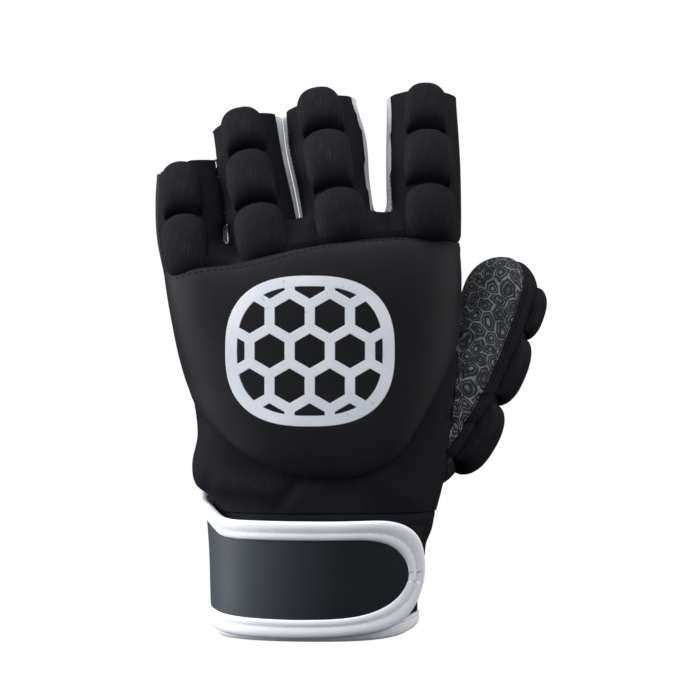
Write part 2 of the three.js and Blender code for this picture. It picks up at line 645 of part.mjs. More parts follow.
// Wrist strap: a strip round the wrist whose round end lies flat and a little off the cuff
function strapPoint(inset, past) {
  return (u, v, grow) => {
    const end = STRAP_END_ANGLE - inset * STRAP_INSET_ANGLE;
    const angle = THREE.MathUtils.lerp(end, STRAP_SEWN_ANGLE - past, (u + 1) / 2);
    const top = valueAt(STRAP_EDGES, "angle", "top", angle) - inset;
    const bottom = valueAt(STRAP_EDGES, "angle", "bottom", angle) + inset;
    const intoRound = Math.max(1 - (end - angle) / (STRAP_END_ROUND - inset), 0);
    const { bend, close, least } = STRAP_CURVE;
    const round = Math.max((1 - intoRound ** bend) ** close, least);
    const height = (top + bottom) / 2 + (v * round * (top - bottom)) / 2;
    const lifted = Math.max(angle - STRAP_END_LIFT.from, 0) / (STRAP_END_ANGLE - STRAP_END_LIFT.from);
    const point = bodyPointAtHeight(height, rad(angle), grow);
    point.y -= STRAP_END_LIFT.height * lifted ** 2;
    return point;
  };
}
const roundEndFirst = (w) => (w < -0.5 ? -1 + 2 * (w + 1) ** 2 : w);
function strapSolid(inset, past, inner, outer) {
  const point = strapPoint(inset, past);
  const rings = Array.from({ length: STRAP_STEPS + 1 }, (_, i) => {
    const u = roundEndFirst((2 * i) / STRAP_STEPS - 1);
    const face = STRAP_ROWS.map((v) => point(u, v, outer));
    return [...face, ...STRAP_ROWS.map((v) => point(u, v, inner)).reverse()];
  });
  return solid(ladder(rings));
}
const strapOuter = STRAP_INNER + STRAP_THICK;
addPiece("wrist_strap", strapSolid(STRAP_BINDING + SEAM_GAP, 0, STRAP_INNER, strapOuter), "strapRubber");
const binding = strapSolid(0, 0, STRAP_INNER - BINDING_PROUD, strapOuter + BINDING_PROUD)
  .subtract(strapSolid(STRAP_BINDING, PAST, STRAP_INNER - PAST, strapOuter + PAST));
addPiece("strap_binding", binding, "whiteTape");

// Loop patch between the strap's end and the cuff
const fastenerPoint = (u, v, grow) => bodyPointAtHeight(
  THREE.MathUtils.lerp(FASTENER.bottom, FASTENER.top, (v + 1) / 2),
  rad(THREE.MathUtils.lerp(FASTENER.from, FASTENER.to, (u + 1) / 2)),
  grow,
);
const patch = slab(fastenerPoint, FASTENER_STEPS, -FASTENER.thick, () => SEAM_GAP + FASTENER.thick);
addPiece("fastener_loop", patch.subtract(bodySolid(SEAM_GAP, 0, CUFF_TOP)), "fastenerLoop");

export default glove;
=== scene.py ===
import json
import math
import bmesh
import bpy
import numpy as np
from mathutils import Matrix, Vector
from mathutils.bvhtree import BVHTree

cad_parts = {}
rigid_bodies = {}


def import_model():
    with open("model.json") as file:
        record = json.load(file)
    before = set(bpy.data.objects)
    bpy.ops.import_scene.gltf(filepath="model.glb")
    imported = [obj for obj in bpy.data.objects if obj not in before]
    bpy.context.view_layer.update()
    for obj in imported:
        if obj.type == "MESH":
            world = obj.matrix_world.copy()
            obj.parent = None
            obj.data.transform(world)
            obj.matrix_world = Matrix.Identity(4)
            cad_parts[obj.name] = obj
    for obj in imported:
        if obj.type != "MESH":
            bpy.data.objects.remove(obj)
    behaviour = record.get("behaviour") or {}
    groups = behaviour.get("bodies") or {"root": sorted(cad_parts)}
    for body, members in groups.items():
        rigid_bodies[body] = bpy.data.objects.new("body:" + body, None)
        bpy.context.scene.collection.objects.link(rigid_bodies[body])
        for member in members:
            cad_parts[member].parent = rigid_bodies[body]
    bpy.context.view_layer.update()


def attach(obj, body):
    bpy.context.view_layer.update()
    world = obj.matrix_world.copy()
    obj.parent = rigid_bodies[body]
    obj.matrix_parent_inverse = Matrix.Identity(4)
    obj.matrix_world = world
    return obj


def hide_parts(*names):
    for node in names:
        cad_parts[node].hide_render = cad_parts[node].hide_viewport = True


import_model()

# A padded half-finger field hockey glove for the left hand, with no hand in it.
# Shapes are worked out in millimetres, like the solids that they stand for, and every
# mesh is scaled by MM when it is made. The back of the hand faces -Y and the thumb is at +X.
MM = 0.001
BODY = "root"

# The camera looks level along +Y at the plane where the back of the hand lies
CAMERA_AIM = (12.6, -18.0, 104.76)
CAMERA_DISTANCE = 800.0
FRAME_WIDTH = 252.0
SENSOR = 36.0


def show(name, data):
    """A new object in the scene, with its mesh, light or camera."""
    made = bpy.data.objects.new(name, data)
    bpy.context.scene.collection.objects.link(made)
    return made


def make_camera():
    data = bpy.data.cameras.new("camera")
    data.sensor_width = SENSOR
    data.lens = SENSOR * CAMERA_DISTANCE / FRAME_WIDTH
    data.clip_start = 0.01
    data.clip_end = 50.0
    camera = show("camera", data)
    x, y, z = CAMERA_AIM
    camera.location = Vector((x, y - CAMERA_DISTANCE, z)) * MM
    camera.rotation_euler = (math.pi / 2, 0, 0)
    bpy.context.scene.camera = camera


make_camera()


# Tables and curves

def table(columns, *rows):
    """A short table with named columns, as one array for each column."""
    return dict(zip(columns.split(), np.array(rows, float).T))


def value_at(rows, by, key, at):
    """A smooth curve through a table's rows, read at any places between them."""
    x, y = rows[by], rows[key]
    if x[-1] < x[0]:
        x, y = x[::-1], y[::-1]
    last = len(x) - 1
    i = np.clip(np.searchsorted(x, at, side="right") - 1, 0, last - 1)
    before, after = np.maximum(i - 1, 0), np.minimum(i + 2, last)
    step = x[i + 1] - x[i]
    t = np.clip((at - x[i]) / step, 0, 1)
    s0 = (y[i + 1] - y[before]) / (x[i + 1] - x[before]) * step
    s1 = (y[after] - y[i]) / (x[after] - x[i]) * step
    return (
        y[i] * (2 * t**3 - 3 * t**2 + 1) + s0 * (t**3 - 2 * t**2 + t)
        + y[i + 1] * (3 * t**2 - 2 * t**3) + s1 * (t**3 - t**2)
    )


def smooth_step(value, low, high):
    t = np.clip((np.asarray(value, float) - low) / (high - low), 0, 1)
    return t * t * (3 - 2 * t)


def mix(a, b, share):
    return a + (b - a) * share


def spread(*values):
    """Numbers and arrays as arrays of one common shape."""
    return np.broadcast_arrays(*(np.asarray(value, float) for value in values))


def round_turn(count):
    """Angles at equal steps round a circle, as a row."""
    return np.linspace(0, 2 * math.pi, count, endpoint=False)[None]


# Driving sizes

# The cloth's wall, the gap of a seam, the cuff's top and the width of its hem tape
WALL = 2.2
SEAM_GAP = 0.3
CUFF_TOP = 46.0
HEM_WIDTH = 6.4

# The hand's cross sections from the wrist opening up to the webs between the fingers
BODY_SECTIONS = table(
    "z left right back palm follow lift",
    (0, -34.6, 36.2, -20.0, 19.0, 0, 0),
    (30, -35.0, 40.2, -20.6, 19.8, 0, 0),
    (46, -36.6, 44.4, -21.0, 20.2, 0, 0),
    (51, -38.6, 45.8, -21.0, 20.6, 0, 0),
    (55, -44.0, 46.8, -20.8, 20.8, 0, 0),
    (63, -45.6, 48.4, -20.2, 20.8, 0, 0),
    (74, -43.6, 49.6, -19.6, 20.2, 0, 0),
    (90, -45.6, 50.8, -19.0, 19.0, 0.1, 0),
    (105, -49.3, 51.8, -18.4, 17.6, 0.3, 0),
    (120, -51.9, 52.4, -17.6, 15.6, 0.6, 0),
    (134, -54.0, 52.8, -16.4, 13.4, 0.9, 0),
    (145, -55.5, 52.4, -14.4, 11.6, 1, 0.3),
    (152, -55.0, 51.6, -10.8, 9.6, 1, 0.8),
    (155.5, -52.0, 48.0, -6.0, 6.0, 1, 1),
)
BODY_TOP = BODY_SECTIONS["z"][-1]
BODY_SQUARENESS = 2.35

# How far the lower edge of the cuff rises towards the thumb's side
WRIST_LINE = table(
    "x rise",
    (-44, 0.6), (-20, 0), (16, 0), (30, 1.3), (38, 4.2), (46, 5),
)

# How far the webs between the fingers lie below the highest one
WEB_LINE = table(
    "x drop",
    (-60, -8), (-45, -9), (-32, -13.5), (-16, -5.5), (-1, 0), (25, 0.8), (56, -5),
)

# Each digit starts at x, y, z inside the palm. splay turns it towards the thumb side and curl
# towards the palm, from its root to its end, and roll turns its back towards +X. tilt is how
# far the cut across its open end lies further up on the thumb's side.
DIGIT_NAMES = ("little", "ring", "middle", "index", "thumb")
FINGERS = DIGIT_NAMES[:4]
DIGIT_ROWS = table(
    "x y z splay splay_end curl curl_end roll length tilt dome",
    (-42.6, 0.0, 108, -6, -5, 2, 31, 0, 65.5, 2.5, 0),
    (-13.4, -2.4, 116, -10, -11.4, 4, 34, 0, 77, 1.2, 0),
    (13.4, -3.4, 118, -7, -10, 3, 33, 0, 81, 1, 0),
    (39.9, -2.4, 118, 0.3, -0.7, 3, 31, 0, 83, 0, 0),
    (23.5, 2.0, 50, 44, 14, 10, 16, 90, 106, 0, 16),
)
DIGITS = {
    name: dict(zip(DIGIT_ROWS, row)) for name, row in zip(DIGIT_NAMES, zip(*DIGIT_ROWS.values()))}

# Half width and half depth of each digit's cloth along it
DIGIT_SIZES = {
    "little": (
        (0, 7, 8), (0.2, 9.5, 11), (0.4, 11.1, 11.2), (0.62, 12.7, 11), (0.85, 12.4, 10.7),
        (1, 11.5, 10.4)),
    "ring": ((0, 9, 9), (0.2, 12.6, 11.6), (0.6, 12.5, 11.6), (1, 12.6, 11.2)),
    "middle": ((0, 9, 9), (0.2, 12.5, 11.8), (0.6, 13.2, 11.8), (0.82, 14.6, 11.7), (1, 13.4, 11.4)),
    "index": ((0, 9, 9), (0.2, 12.8, 10.9), (0.6, 13.9, 11.7), (1, 13.2, 11.2)),
    "thumb": ((0, 9.5, 9.5), (0.2, 14.6, 15), (0.45, 15.4, 15.2), (0.7, 14.4, 14.4), (1, 13.8, 14.2)),
}
DIGIT_SQUARENESS = 2.2
# The cut across a finger runs level over its back, and lies further up on its sides. Its slope
# is over the cosine of the angle from the back, which is cut off where the level part begins.
CUT_RISE = 3.2
CUT_SLOPE = 6.0
CUT_LEVEL_TO = 0.7
# The strip along the back of the thumb: its ends as shares of the thumb's length, half its angle
# and how far out the wedge that cuts it reaches
THUMB_BACK_FROM = 0.25
THUMB_BACK_TO = 1.1
THUMB_BACK_HALF_ANGLE = 60
THUMB_WEDGE_REACH = 23.0

# The strip of stretch cloth between two fingers: the share of their length where it starts,
# half its width through the depth of the hand and its shift towards the back
GUSSETS = {
    "gusset_little_ring": dict(between=("little", "ring"), root=0.34, half=3.2, to_back=-2.4),
    "gusset_ring_middle": dict(between=("ring", "middle"), root=0.4, half=4.0, to_back=-1.6),
    "gusset_middle_index": dict(between=("middle", "index"), root=0.4, half=5.1, to_back=-0.1),
}

# The bottom of a gusset rises to its sides by the square of the distance, up to this much
GUSSET_BOWL = 0.3
GUSSET_BOWL_MOST = 5.0
# Half the gap of the seams along the hand's sides
SIDE_SEAM_GAP = 0.02

# Foam pads from the end of each digit down: where they begin and end on the middle of its
# back, as shares of its length, their half angle and turn round it and their height. Their
# upper and lower edges fall away to the sides by top and bottom, in millimetres, and round is
# the share of the half width by which the upper end narrows.
PAD_COLUMNS = ("start", "end", "half", "turn", "height", "top", "bottom", "round")
PADS = {
    "little": (
        (0.985, 0.685, 31, -8, 6, 0, 1.8, 0.75),
        (0.67, 0.32, 35, -7, 6, 2.4, -1, 0),
    ),
    "ring": (
        (1.024, 0.805, 32, -2, 6, 0, 2.4, 0.8),
        (0.79, 0.534, 36, -4, 6, 2.6, 2, 0),
        (0.518, 0.245, 38.5, -3, 6, 2.4, -1.5, 0),
    ),
    "middle": (
        (1.037, 0.827, 30, -3, 6, 0, 2.4, 0.8),
        (0.812, 0.549, 32, -3, 6, 2.6, 2, 0),
        (0.533, 0.285, 37, 2, 6, 2.4, -1, 0),
    ),
    "index": (
        (1.017, 0.8, 29.5, 4.5, 6, 0, 2.2, 0.8),
        (0.785, 0.552, 33, 6, 6, 2.6, 1.8, 0),
        (0.537, 0.295, 35, 8, 6, 2.4, -1, 0),
    ),
    "thumb": (
        (0.92, 0.75, 36, 0, 4, 0, 0.8, 0.4),
        (0.735, 0.508, 40, 0, 5.2, 0.8, 0.8, 0),
        (0.493, 0.24, 44, 0, 7, 0.8, -1, 0),
    ),
}

# The foam pad on the back of the hand, from its lowest point up to the knuckle seam, with
# its edges as shares of the hand's half width
BACK_PAD_HEIGHT = 4.2
BACK_PAD_LOWEST = 59.0
BACK_PAD_BELOW_SEAM = 1.0
BACK_PAD_ROWS = table(
    "rise left right",
    (0, -0.1, 0.22), (0.03, -0.29, 0.42), (0.09, -0.52, 0.59), (0.19, -0.76, 0.7),
    (0.32, -0.94, 0.82), (0.45, -0.995, 0.92), (0.58, -0.998, 0.985), (0.78, -0.998, 0.995),
    (1, -0.998, 0.995),
)
KNUCKLE_SEAM = table(
    "x z",
    (-56, 130.6), (-43, 134.3), (-24, 136.7), (-1, 142.6), (17, 145.2), (34, 146.2), (52, 144.4),
)

# The wrist strap runs from its round end to the place where it is sewn on, in degrees round the
# wrist from +X towards +Y, and its edges are heights. It lifts off the cuff towards its round
# end, where each millimetre of an inset is STRAP_INSET_ANGLE degrees. STRAP_CURVE closes that end,
# by two powers and the least share that stays open.
STRAP_END_ANGLE = 334.0
STRAP_SEWN_ANGLE = 40.0
STRAP_END_ROUND = 45.0
STRAP_LIFT_FROM = 292.0
STRAP_LIFT = 6.0
STRAP_INSET_ANGLE = 2.5
STRAP_CURVE = (2.4, 0.55, 0.12)
STRAP_EDGES = table(
    "angle top bottom",
    (334, 42, 4), (300, 43.6, 3.2), (270, 43.4, 1.5), (238, 43.6, 1.8), (222, 43.8, 2.3),
    (212, 44.6, 2.8), (204, 46.6, 3.4), (196, 48.6, 4), (168, 52, 5), (145, 55, 5), (75, 48, 5),
    (40, 45, 5),
)
# The loop patch under it, in the same degrees and heights, with its thickness and how far its
# underside lies in the cuff
FASTENER = dict(start=205.0, end=330.0, bottom=9.0, top=41.0, thick=0.7, sunk=0.3)


# Points of the glove's form. Angles are in radians, and grow is a distance outwards.

def oval(angle, squareness):
    bend = lambda v: np.sign(v) * np.abs(v) ** (2 / squareness)
    return bend(np.cos(angle)), bend(np.sin(angle))


def body_point(z, angle, grow=0.0):
    """Points of the hand's surface on the section that starts at z."""
    z, angle, grow = spread(z, angle, grow)
    at = {key: value_at(BODY_SECTIONS, "z", key, z) for key in BODY_SECTIONS if key != "z"}
    c, s = oval(angle, BODY_SQUARENESS)
    x = (at["right"] + at["left"]) / 2 + c * ((at["right"] - at["left"]) / 2 + grow)
    y = (at["palm"] + at["back"]) / 2 + s * ((at["palm"] - at["back"]) / 2 + grow)
    drop = value_at(WEB_LINE, "x", "drop", x)
    rise = value_at(WRIST_LINE, "x", "rise", x - c * grow) * np.maximum(1 - z / CUFF_TOP, 0) ** 2
    return np.stack([x, y, z + rise + at["follow"] * drop + at["lift"] * grow], -1)


def body_at_height(height, angle, grow=0.0):
    """The same, at true heights above the wrist opening."""
    height, angle, grow = spread(height, angle, grow)
    low, high = np.zeros(height.shape), np.full(height.shape, BODY_TOP)
    for _ in range(24):
        middle = (low + high) / 2
        under = body_point(middle, angle, grow)[..., 2] < height
        low, high = np.where(under, middle, low), np.where(under, high, middle)
    points = body_point((low + high) / 2, angle, grow)
    points[..., 2] = height
    return points


def turned(vectors, axes, angle):
    """Vectors turned about unit axes by one angle."""
    c, s = math.cos(angle), math.sin(angle)
    along = (vectors * axes).sum(-1, keepdims=True) * axes
    return vectors * c + np.cross(axes, vectors) * s + along * (1 - c)


AXIS_STEPS = 96


def trace_axis(digit):
    """Middle line and directions of a digit at steps of its length."""
    share = np.linspace(0, 1, AXIS_STEPS + 1)
    splay = np.radians(mix(digit["splay"], digit["splay_end"], share))
    curl = np.radians(mix(digit["curl"], digit["curl_end"], share))
    along = np.stack(
        [np.sin(splay) * np.cos(curl), np.sin(curl), np.cos(splay) * np.cos(curl)], -1)
    side = np.stack([np.cos(splay), np.zeros_like(splay), -np.sin(splay)], -1)
    back = np.cross(side, along)
    steps = along * digit["length"] / AXIS_STEPS
    digit["start"] = np.array([digit[axis] for axis in "xyz"])
    digit["at"] = digit["start"] + np.vstack([np.zeros(3), steps.cumsum(0)[:-1]])
    digit["along"] = along
    digit["side"] = turned(side, along, math.radians(digit["roll"]))
    digit["back"] = turned(back, along, math.radians(digit["roll"]))


for digit_name, digit_facts in DIGITS.items():
    trace_axis(digit_facts)
    digit_facts["sizes"] = table("share width depth", *DIGIT_SIZES[digit_name])


def frame_at(digit, share):
    """A digit's middle line and directions at shares of its length."""
    share = np.asarray(share, float)
    inside = np.clip(share, 0, 1)
    place = inside * AXIS_STEPS
    i = np.minimum(place.astype(int), AXIS_STEPS - 1)
    part = (place - i)[..., None]
    found = {
        key: mix(digit[key][i], digit[key][i + 1], part) for key in ("at", "along", "side", "back")}
    found["at"] = found["at"] + found["along"] * ((share - inside) * digit["length"])[..., None]
    return found


def half_size(digit, key, share, grow):
    """Half width or half depth of a digit, closing over its dome."""
    even = value_at(digit["sizes"], "share", key, share) + grow
    if not digit["dome"]:
        return even
    closing = np.maximum(digit["length"] * (1 - share) + grow, 0)
    part = np.clip(1 - closing / (digit["dome"] + grow), 0, 1)
    return np.maximum(even * np.sqrt(1 - part**DIGIT_SQUARENESS), 0.05)


def digit_point(digit, share, angle, grow=0.0):
    """Points of a digit's surface. Angle 0 is the middle of its back, and it turns to +X."""
    share, angle, grow = spread(share, angle, grow)
    found = frame_at(digit, share)
    c, s = oval(angle, DIGIT_SQUARENESS)
    return (
        found["at"] + found["back"] * (c * half_size(digit, "depth", share, grow))[..., None]
        + found["side"] * (s * half_size(digit, "width", share, grow))[..., None]
    )


# Meshes

def new_object(name, points, faces, smooth=True):
    """An object in the scene, from points in millimetres."""
    mesh = bpy.data.meshes.new(name)
    mesh.from_pydata((np.asarray(points, float) * MM).tolist(), [], faces)
    mesh.validate()
    mesh.update()
    mesh.polygons.foreach_set("use_smooth", [smooth] * len(mesh.polygons))
    return show(name, mesh)


def vectors_of(items, key):
    """The vectors of a mesh's points, as rows."""
    flat = np.empty(len(items) * 3, np.float32)
    items.foreach_get(key, flat)
    return flat.reshape(-1, 3).astype(float)


def points_of(mesh):
    """A mesh's points in millimetres."""
    return vectors_of(mesh.vertices, "co") / MM


def normals_of(mesh):
    return vectors_of(mesh.vertex_normals, "vector")


def move_points(mesh, points):
    mesh.vertices.foreach_set("co", (points * MM).astype(np.float32).ravel())
    mesh.update()


def grid_faces(rows, columns, first=0, closed=False):
    """Quads over rows of points. closed joins the last column to the first."""
    faces = []
    for r in range(rows - 1):
        for c in range(columns if closed else columns - 1):
            a, b = first + r * columns + c, first + r * columns + (c + 1) % columns
            faces.append((a, b, b + columns, a + columns))
    return faces


def tube_mesh(rings):
    """Points and faces of a closed tube through rings of points, with flat ends."""
    rings = np.asarray(rings, float)
    count, sides = rings.shape[:2]
    faces = grid_faces(count, sides, closed=True)
    faces.append(tuple(reversed(range(sides))))
    faces.append(tuple(range((count - 1) * sides, count * sides)))
    return rings.reshape(-1, 3), faces


def edited(made, change):
    """Changes an object's mesh as a bmesh."""
    work = bmesh.new()
    work.from_mesh(made.data)
    change(work)
    work.to_mesh(made.data)
    work.free()
    return made


def outward(made):
    """Turns all faces of a closed mesh to the outside."""
    return edited(made, lambda work: bmesh.ops.recalc_face_normals(work, faces=work.faces))


def tube(name, rings):
    return outward(new_object(name, *tube_mesh(rings)))


def discard(*objects):
    for made in objects:
        mesh = made.data
        bpy.data.objects.remove(made)
        bpy.data.meshes.remove(mesh)


def applied(made):
    """Replaces an object's mesh by the one that its modifiers make."""
    bpy.context.view_layer.update()
    graph = bpy.context.evaluated_depsgraph_get()
    mesh = bpy.data.meshes.new_from_object(made.evaluated_get(graph))
    old = made.data
    made.modifiers.clear()
    made.data = mesh
    bpy.data.meshes.remove(old)
    return made


def modify(made, kind, **settings):
    """Adds a modifier with its settings."""
    added = made.modifiers.new(kind.lower(), kind)
    for key, value in settings.items():
        setattr(added, key, value)


def combined(name, objects, operation):
    """A copy of the first object, cut by the others."""
    base, *others = objects
    made = show(name, base.data.copy())
    for other in others:
        modify(made, "BOOLEAN", operation=operation, solver="MANIFOLD", object=other)
    return applied(made)


def delete_crumbs(work):
    """Deletes all parts of a bmesh that don't hang together with its largest."""
    left, groups = set(work.verts), []
    while left:
        stack = [left.pop()]
        group = list(stack)
        while stack:
            for edge in stack.pop().link_edges:
                for vert in edge.verts:
                    if vert in left:
                        left.remove(vert)
                        stack.append(vert)
                        group.append(vert)
        groups.append(group)
    largest = max(groups, key=len)
    crumbs = [vert for group in groups if group is not largest for vert in group]
    bmesh.ops.delete(work, geom=crumbs, context="VERTS")


def keep_largest(made):
    """Deletes the crumbs that a cut can leave beside the piece itself."""
    return edited(made, delete_crumbs)


def soften(made, sharp_angle=50):
    """Smooth shading, with the cut edges of the cloth left crisp."""
    mesh = made.data
    mesh.polygons.foreach_set("use_smooth", [True] * len(mesh.polygons))
    mesh.set_sharp_from_angle(angle=math.radians(sharp_angle))
    mesh.update()
    return made


def tree_of(*objects):
    """One search tree over several objects' faces, in metres."""
    points, faces = [], []
    for made in objects:
        first = len(points)
        points.extend(v.co.copy() for v in made.data.vertices)
        faces.extend([first + i for i in face.vertices] for face in made.data.polygons)
    return BVHTree.FromPolygons(points, faces)


def nearest(tree, points, reach=1e9):
    """Distance in millimetres to the nearest face, with the place and outward direction there."""
    far = np.full(len(points), reach)
    place, normal = np.array(points, float), np.zeros((len(points), 3))
    for i, point in enumerate(points):
        found, facing, _, distance = tree.find_nearest(Vector(point) * MM, reach * MM)
        if found is not None:
            far[i], place[i], normal[i] = distance / MM, np.array(found) / MM, facing
    return far, place, normal


# The sewn shell

# The solids that the shell is cut from: how far they lie outwards, how far they begin below
# the cuff's top and run past the open ends, and how finely and how often they are evened out
FORMS = {
    "outer": dict(grow=0.0, below=4, past=6.0, voxel=0.9, rounds=8),
    "inner": dict(grow=-WALL, below=7, past=10.0, voxel=1.6, rounds=4),
    "hand": dict(grow=0.8, below=8, past=6.0, voxel=1.5, rounds=3),
    "hand_and_seam": dict(grow=0.8 + SEAM_GAP, below=8, past=6.0, voxel=1.5, rounds=3),
}


# How many points the forms have: up and round the hand, along and round a digit, over its dome
HAND_POINTS = (90, 96)
DIGIT_POINTS = (54, 56)
DOME_POINTS = 16


def body_form(grow, bottom):
    """A closed solid of the hand without its digits."""
    rows, sides = HAND_POINTS
    heights = np.linspace(bottom, BODY_TOP, rows)[:, None]
    return tube("form", body_point(heights, round_turn(sides), grow))


def digit_form(digit, grow, past):
    """A closed solid of one digit. past lengthens it beyond an open end."""
    rows, sides = DIGIT_POINTS
    if digit["dome"]:
        straight = 1 - digit["dome"] / digit["length"]
        low = np.linspace(0, straight, rows)[:-1]
        turn = np.sin(np.linspace(0, math.pi / 2, DOME_POINTS))
        shares = np.concatenate([low, mix(straight, 1 + grow / digit["length"], turn)])
    else:
        shares = np.linspace(0, 1 + past / digit["length"], rows)
    return tube("form", digit_point(digit, shares[:, None], round_turn(sides), grow))


def joined_form(name, digits):
    """Hand and digits as one smooth solid, with the corners between them rounded out."""
    grow, below, past, voxel, rounds = FORMS[name].values()
    parts = [body_form(grow, CUFF_TOP - below)]
    parts += [digit_form(DIGITS[digit_name], grow, past) for digit_name in digits]
    work = bmesh.new()
    for part in parts:
        work.from_mesh(part.data)
    mesh = bpy.data.meshes.new(name)
    work.to_mesh(mesh)
    work.free()
    discard(*parts)
    made = show(name, mesh)
    modify(made, "REMESH", mode="VOXEL", voxel_size=voxel * MM)
    modify(made, "SMOOTH", factor=0.5, iterations=rounds)
    return applied(made)


# Limits well outside the glove
FAR = dict(left=-90.0, right=110.0, top=240.0, depth=90.0)


def prism(outline, axis, ends):
    """A cutter with the same outline all along one axis, from one end to the other."""
    return tube("cutter", [np.insert(np.array(outline, float), axis, end, axis=1) for end in ends])


def above(line):
    """Everything above a line in X and Z."""
    outline = [*line, (FAR["right"], FAR["top"]), (FAR["left"], FAR["top"])]
    return prism(outline, 1, (-FAR["depth"], FAR["depth"]))


def seam_line(shift):
    """The knuckle seam in X and Z, moved up by shift and lengthened to both sides."""
    x = np.linspace(KNUCKLE_SEAM["x"][0], KNUCKLE_SEAM["x"][-1], 60)
    z = value_at(KNUCKLE_SEAM, "x", "z", x) + shift
    return [(FAR["left"], z[0]), *zip(x, z), (FAR["right"], z[-1])]


def middle_y(height):
    """The surface halfway between back and palm, which follows the middle finger's axis."""
    digit = DIGITS["middle"]
    z, y = digit["at"][:, 2], digit["at"][:, 1] - digit["start"][1]
    last = digit["along"][-1]
    over = np.maximum(height - z[-1], 0)
    return np.interp(height, z, y, left=0) + over * last[1] / last[2]


# Heights at which it is traced, close together where the fingers curl
PARTING_HEIGHTS = (-20, 60, 110, *np.linspace(118, 215, 30))


def back_side(shift):
    """Everything on the back's side of the surface halfway, moved towards the palm by shift."""
    outline = [(middle_y(z) + shift, z) for z in PARTING_HEIGHTS]
    outline += [(-FAR["depth"], PARTING_HEIGHTS[-1]), (-FAR["depth"], PARTING_HEIGHTS[0])]
    return prism(outline, 0, (FAR["left"], FAR["right"]))


def gusset_space(gusset, grow):
    """The space between the middle lines of two neighbouring fingers, round at its bottom."""
    a, b = (DIGITS[name] for name in gusset["between"])
    across = np.linspace(0, 1, 33)
    off_middle = (across - 0.5) * np.linalg.norm(a["start"] - b["start"])
    bowl = np.minimum(GUSSET_BOWL * off_middle**2, GUSSET_BOWL_MOST)
    rings = []
    for step in np.linspace(0, 1.2, 25):
        up = bowl * max(1 - 2 * step, 0) - (0 if step else grow)
        rows = []
        for back in (1, -1):
            sides = []
            for digit, side in ((a, -1), (b, 1)):
                at = frame_at(digit, gusset["root"] + (1 - gusset["root"]) * step + up / digit["length"])
                rise = gusset["to_back"] + back * (gusset["half"] + grow)
                sides.append(at["at"] + at["back"] * rise + at["side"] * side * grow)
            rows.append(mix(*sides, across[:, None])[::back])
        rings.append(np.concatenate(rows))
    return tube("cutter", rings)


def thumb_wedge(grow):
    """The wedge that holds the back of the thumb's wall."""
    thumb = DIGITS["thumb"]
    half = math.radians(THUMB_BACK_HALF_ANGLE)
    reach = THUMB_WEDGE_REACH + 2 * grow
    rings = []
    for place in np.linspace(THUMB_BACK_FROM - grow / thumb["length"], THUMB_BACK_TO, 30):
        at = frame_at(thumb, place)
        tip = at["at"] - at["back"] * grow / math.sin(half)
        arc = [
            tip + at["back"] * math.cos(t) * reach + at["side"] * math.sin(t) * reach
            for t in np.linspace(-half, half, 7)]
        rings.append([tip, *arc])
    return tube("cutter", rings)


# How far the space past a finger's open end reaches
END_SPACE = 12.0


def end_space(name):
    """The space past the open end of a finger."""
    digit = DIGITS[name]
    angles = round_turn(64)
    level = np.clip(np.cos(angles), 0, CUT_LEVEL_TO)
    start = digit["tilt"] * np.sin(angles) + CUT_RISE - CUT_SLOPE * level
    ends = np.array([0, END_SPACE])[:, None]
    return tube("cutter", digit_point(digit, 1 + (start + ends) / digit["length"], angles, 2.0))


# Folds of the cloth on the back of the glove: a line in X and Z, with its half width and
# its height, which is below zero for a crease
FOLDS = table(
    "x0 z0 x1 z1 width height",
    (-38, 66, -10, 57, 5.0, -0.9),
    (-34, 58, -10, 51, 4.0, 1.0),
    (-5, 59, -13, 48, 2.4, -0.8),
    (0, 56, 22, 50, 6.0, -0.7),
    (14, 61, 34, 52, 5.0, 0.8),
    (-41, 50, -37, 62, 3.0, -0.8),
    (-46, 150, -45, 134, 3.0, -0.8),
    (-29, 146, -31, 135, 3.0, -1.2),
    (1, 156, 2, 143, 3.0, -1.2),
    (28, 158, 28, 147, 3.5, -1.0),
)
# A fold is level past these shares of its length at either end, and grows with how much the
# cloth faces the front
FOLD_ENDS = (0.12, 0.88)
FOLD_FACING = (0.1, 0.6)


def line_distance(points, a, b):
    """Distance from points to the stretch from a to b, and the share along it."""
    a, b = np.asarray(a, float), np.asarray(b, float)
    run = b - a
    share = np.clip(((points - a) @ run) / (run @ run), 0, 1)
    return np.linalg.norm(points - (a + share[:, None] * run), axis=1), share


def fold_heights(points, normals):
    """How far the folds lift each point of the back."""
    lift = np.zeros(len(points))
    flat = points[:, [0, 2]]
    for x0, z0, x1, z1, width, height in zip(*FOLDS.values()):
        far, share = line_distance(flat, (x0, z0), (x1, z1))
        lift += height * np.exp(-((far / width) ** 2)) * np.sin(math.pi * np.clip(share, *FOLD_ENDS))
    return lift * smooth_step(-normals[:, 1], *FOLD_FACING)


# Creases round the thumb's root, where it bends: share of its length, angle from the middle
# of its back, half width and depth in millimetres
THUMB_CREASES = table(
    "share angle width depth",
    (0.34, 285, 1.8, 0.9), (0.42, 270, 1.8, 0.8), (0.5, 262, 1.7, 0.6), (0.3, 250, 2.0, 0.8),
    (0.56, 96, 1.8, 0.5), (0.36, 120, 2.0, 0.7),
)
# How far a crease climbs with each degree round the thumb, how many degrees it reaches to each
# side, and the distances from the thumb's middle line over which it fades on the hand
CREASE_SLANT = 0.16
CREASE_REACH = 38
CREASE_FADE = (15.5, 18)


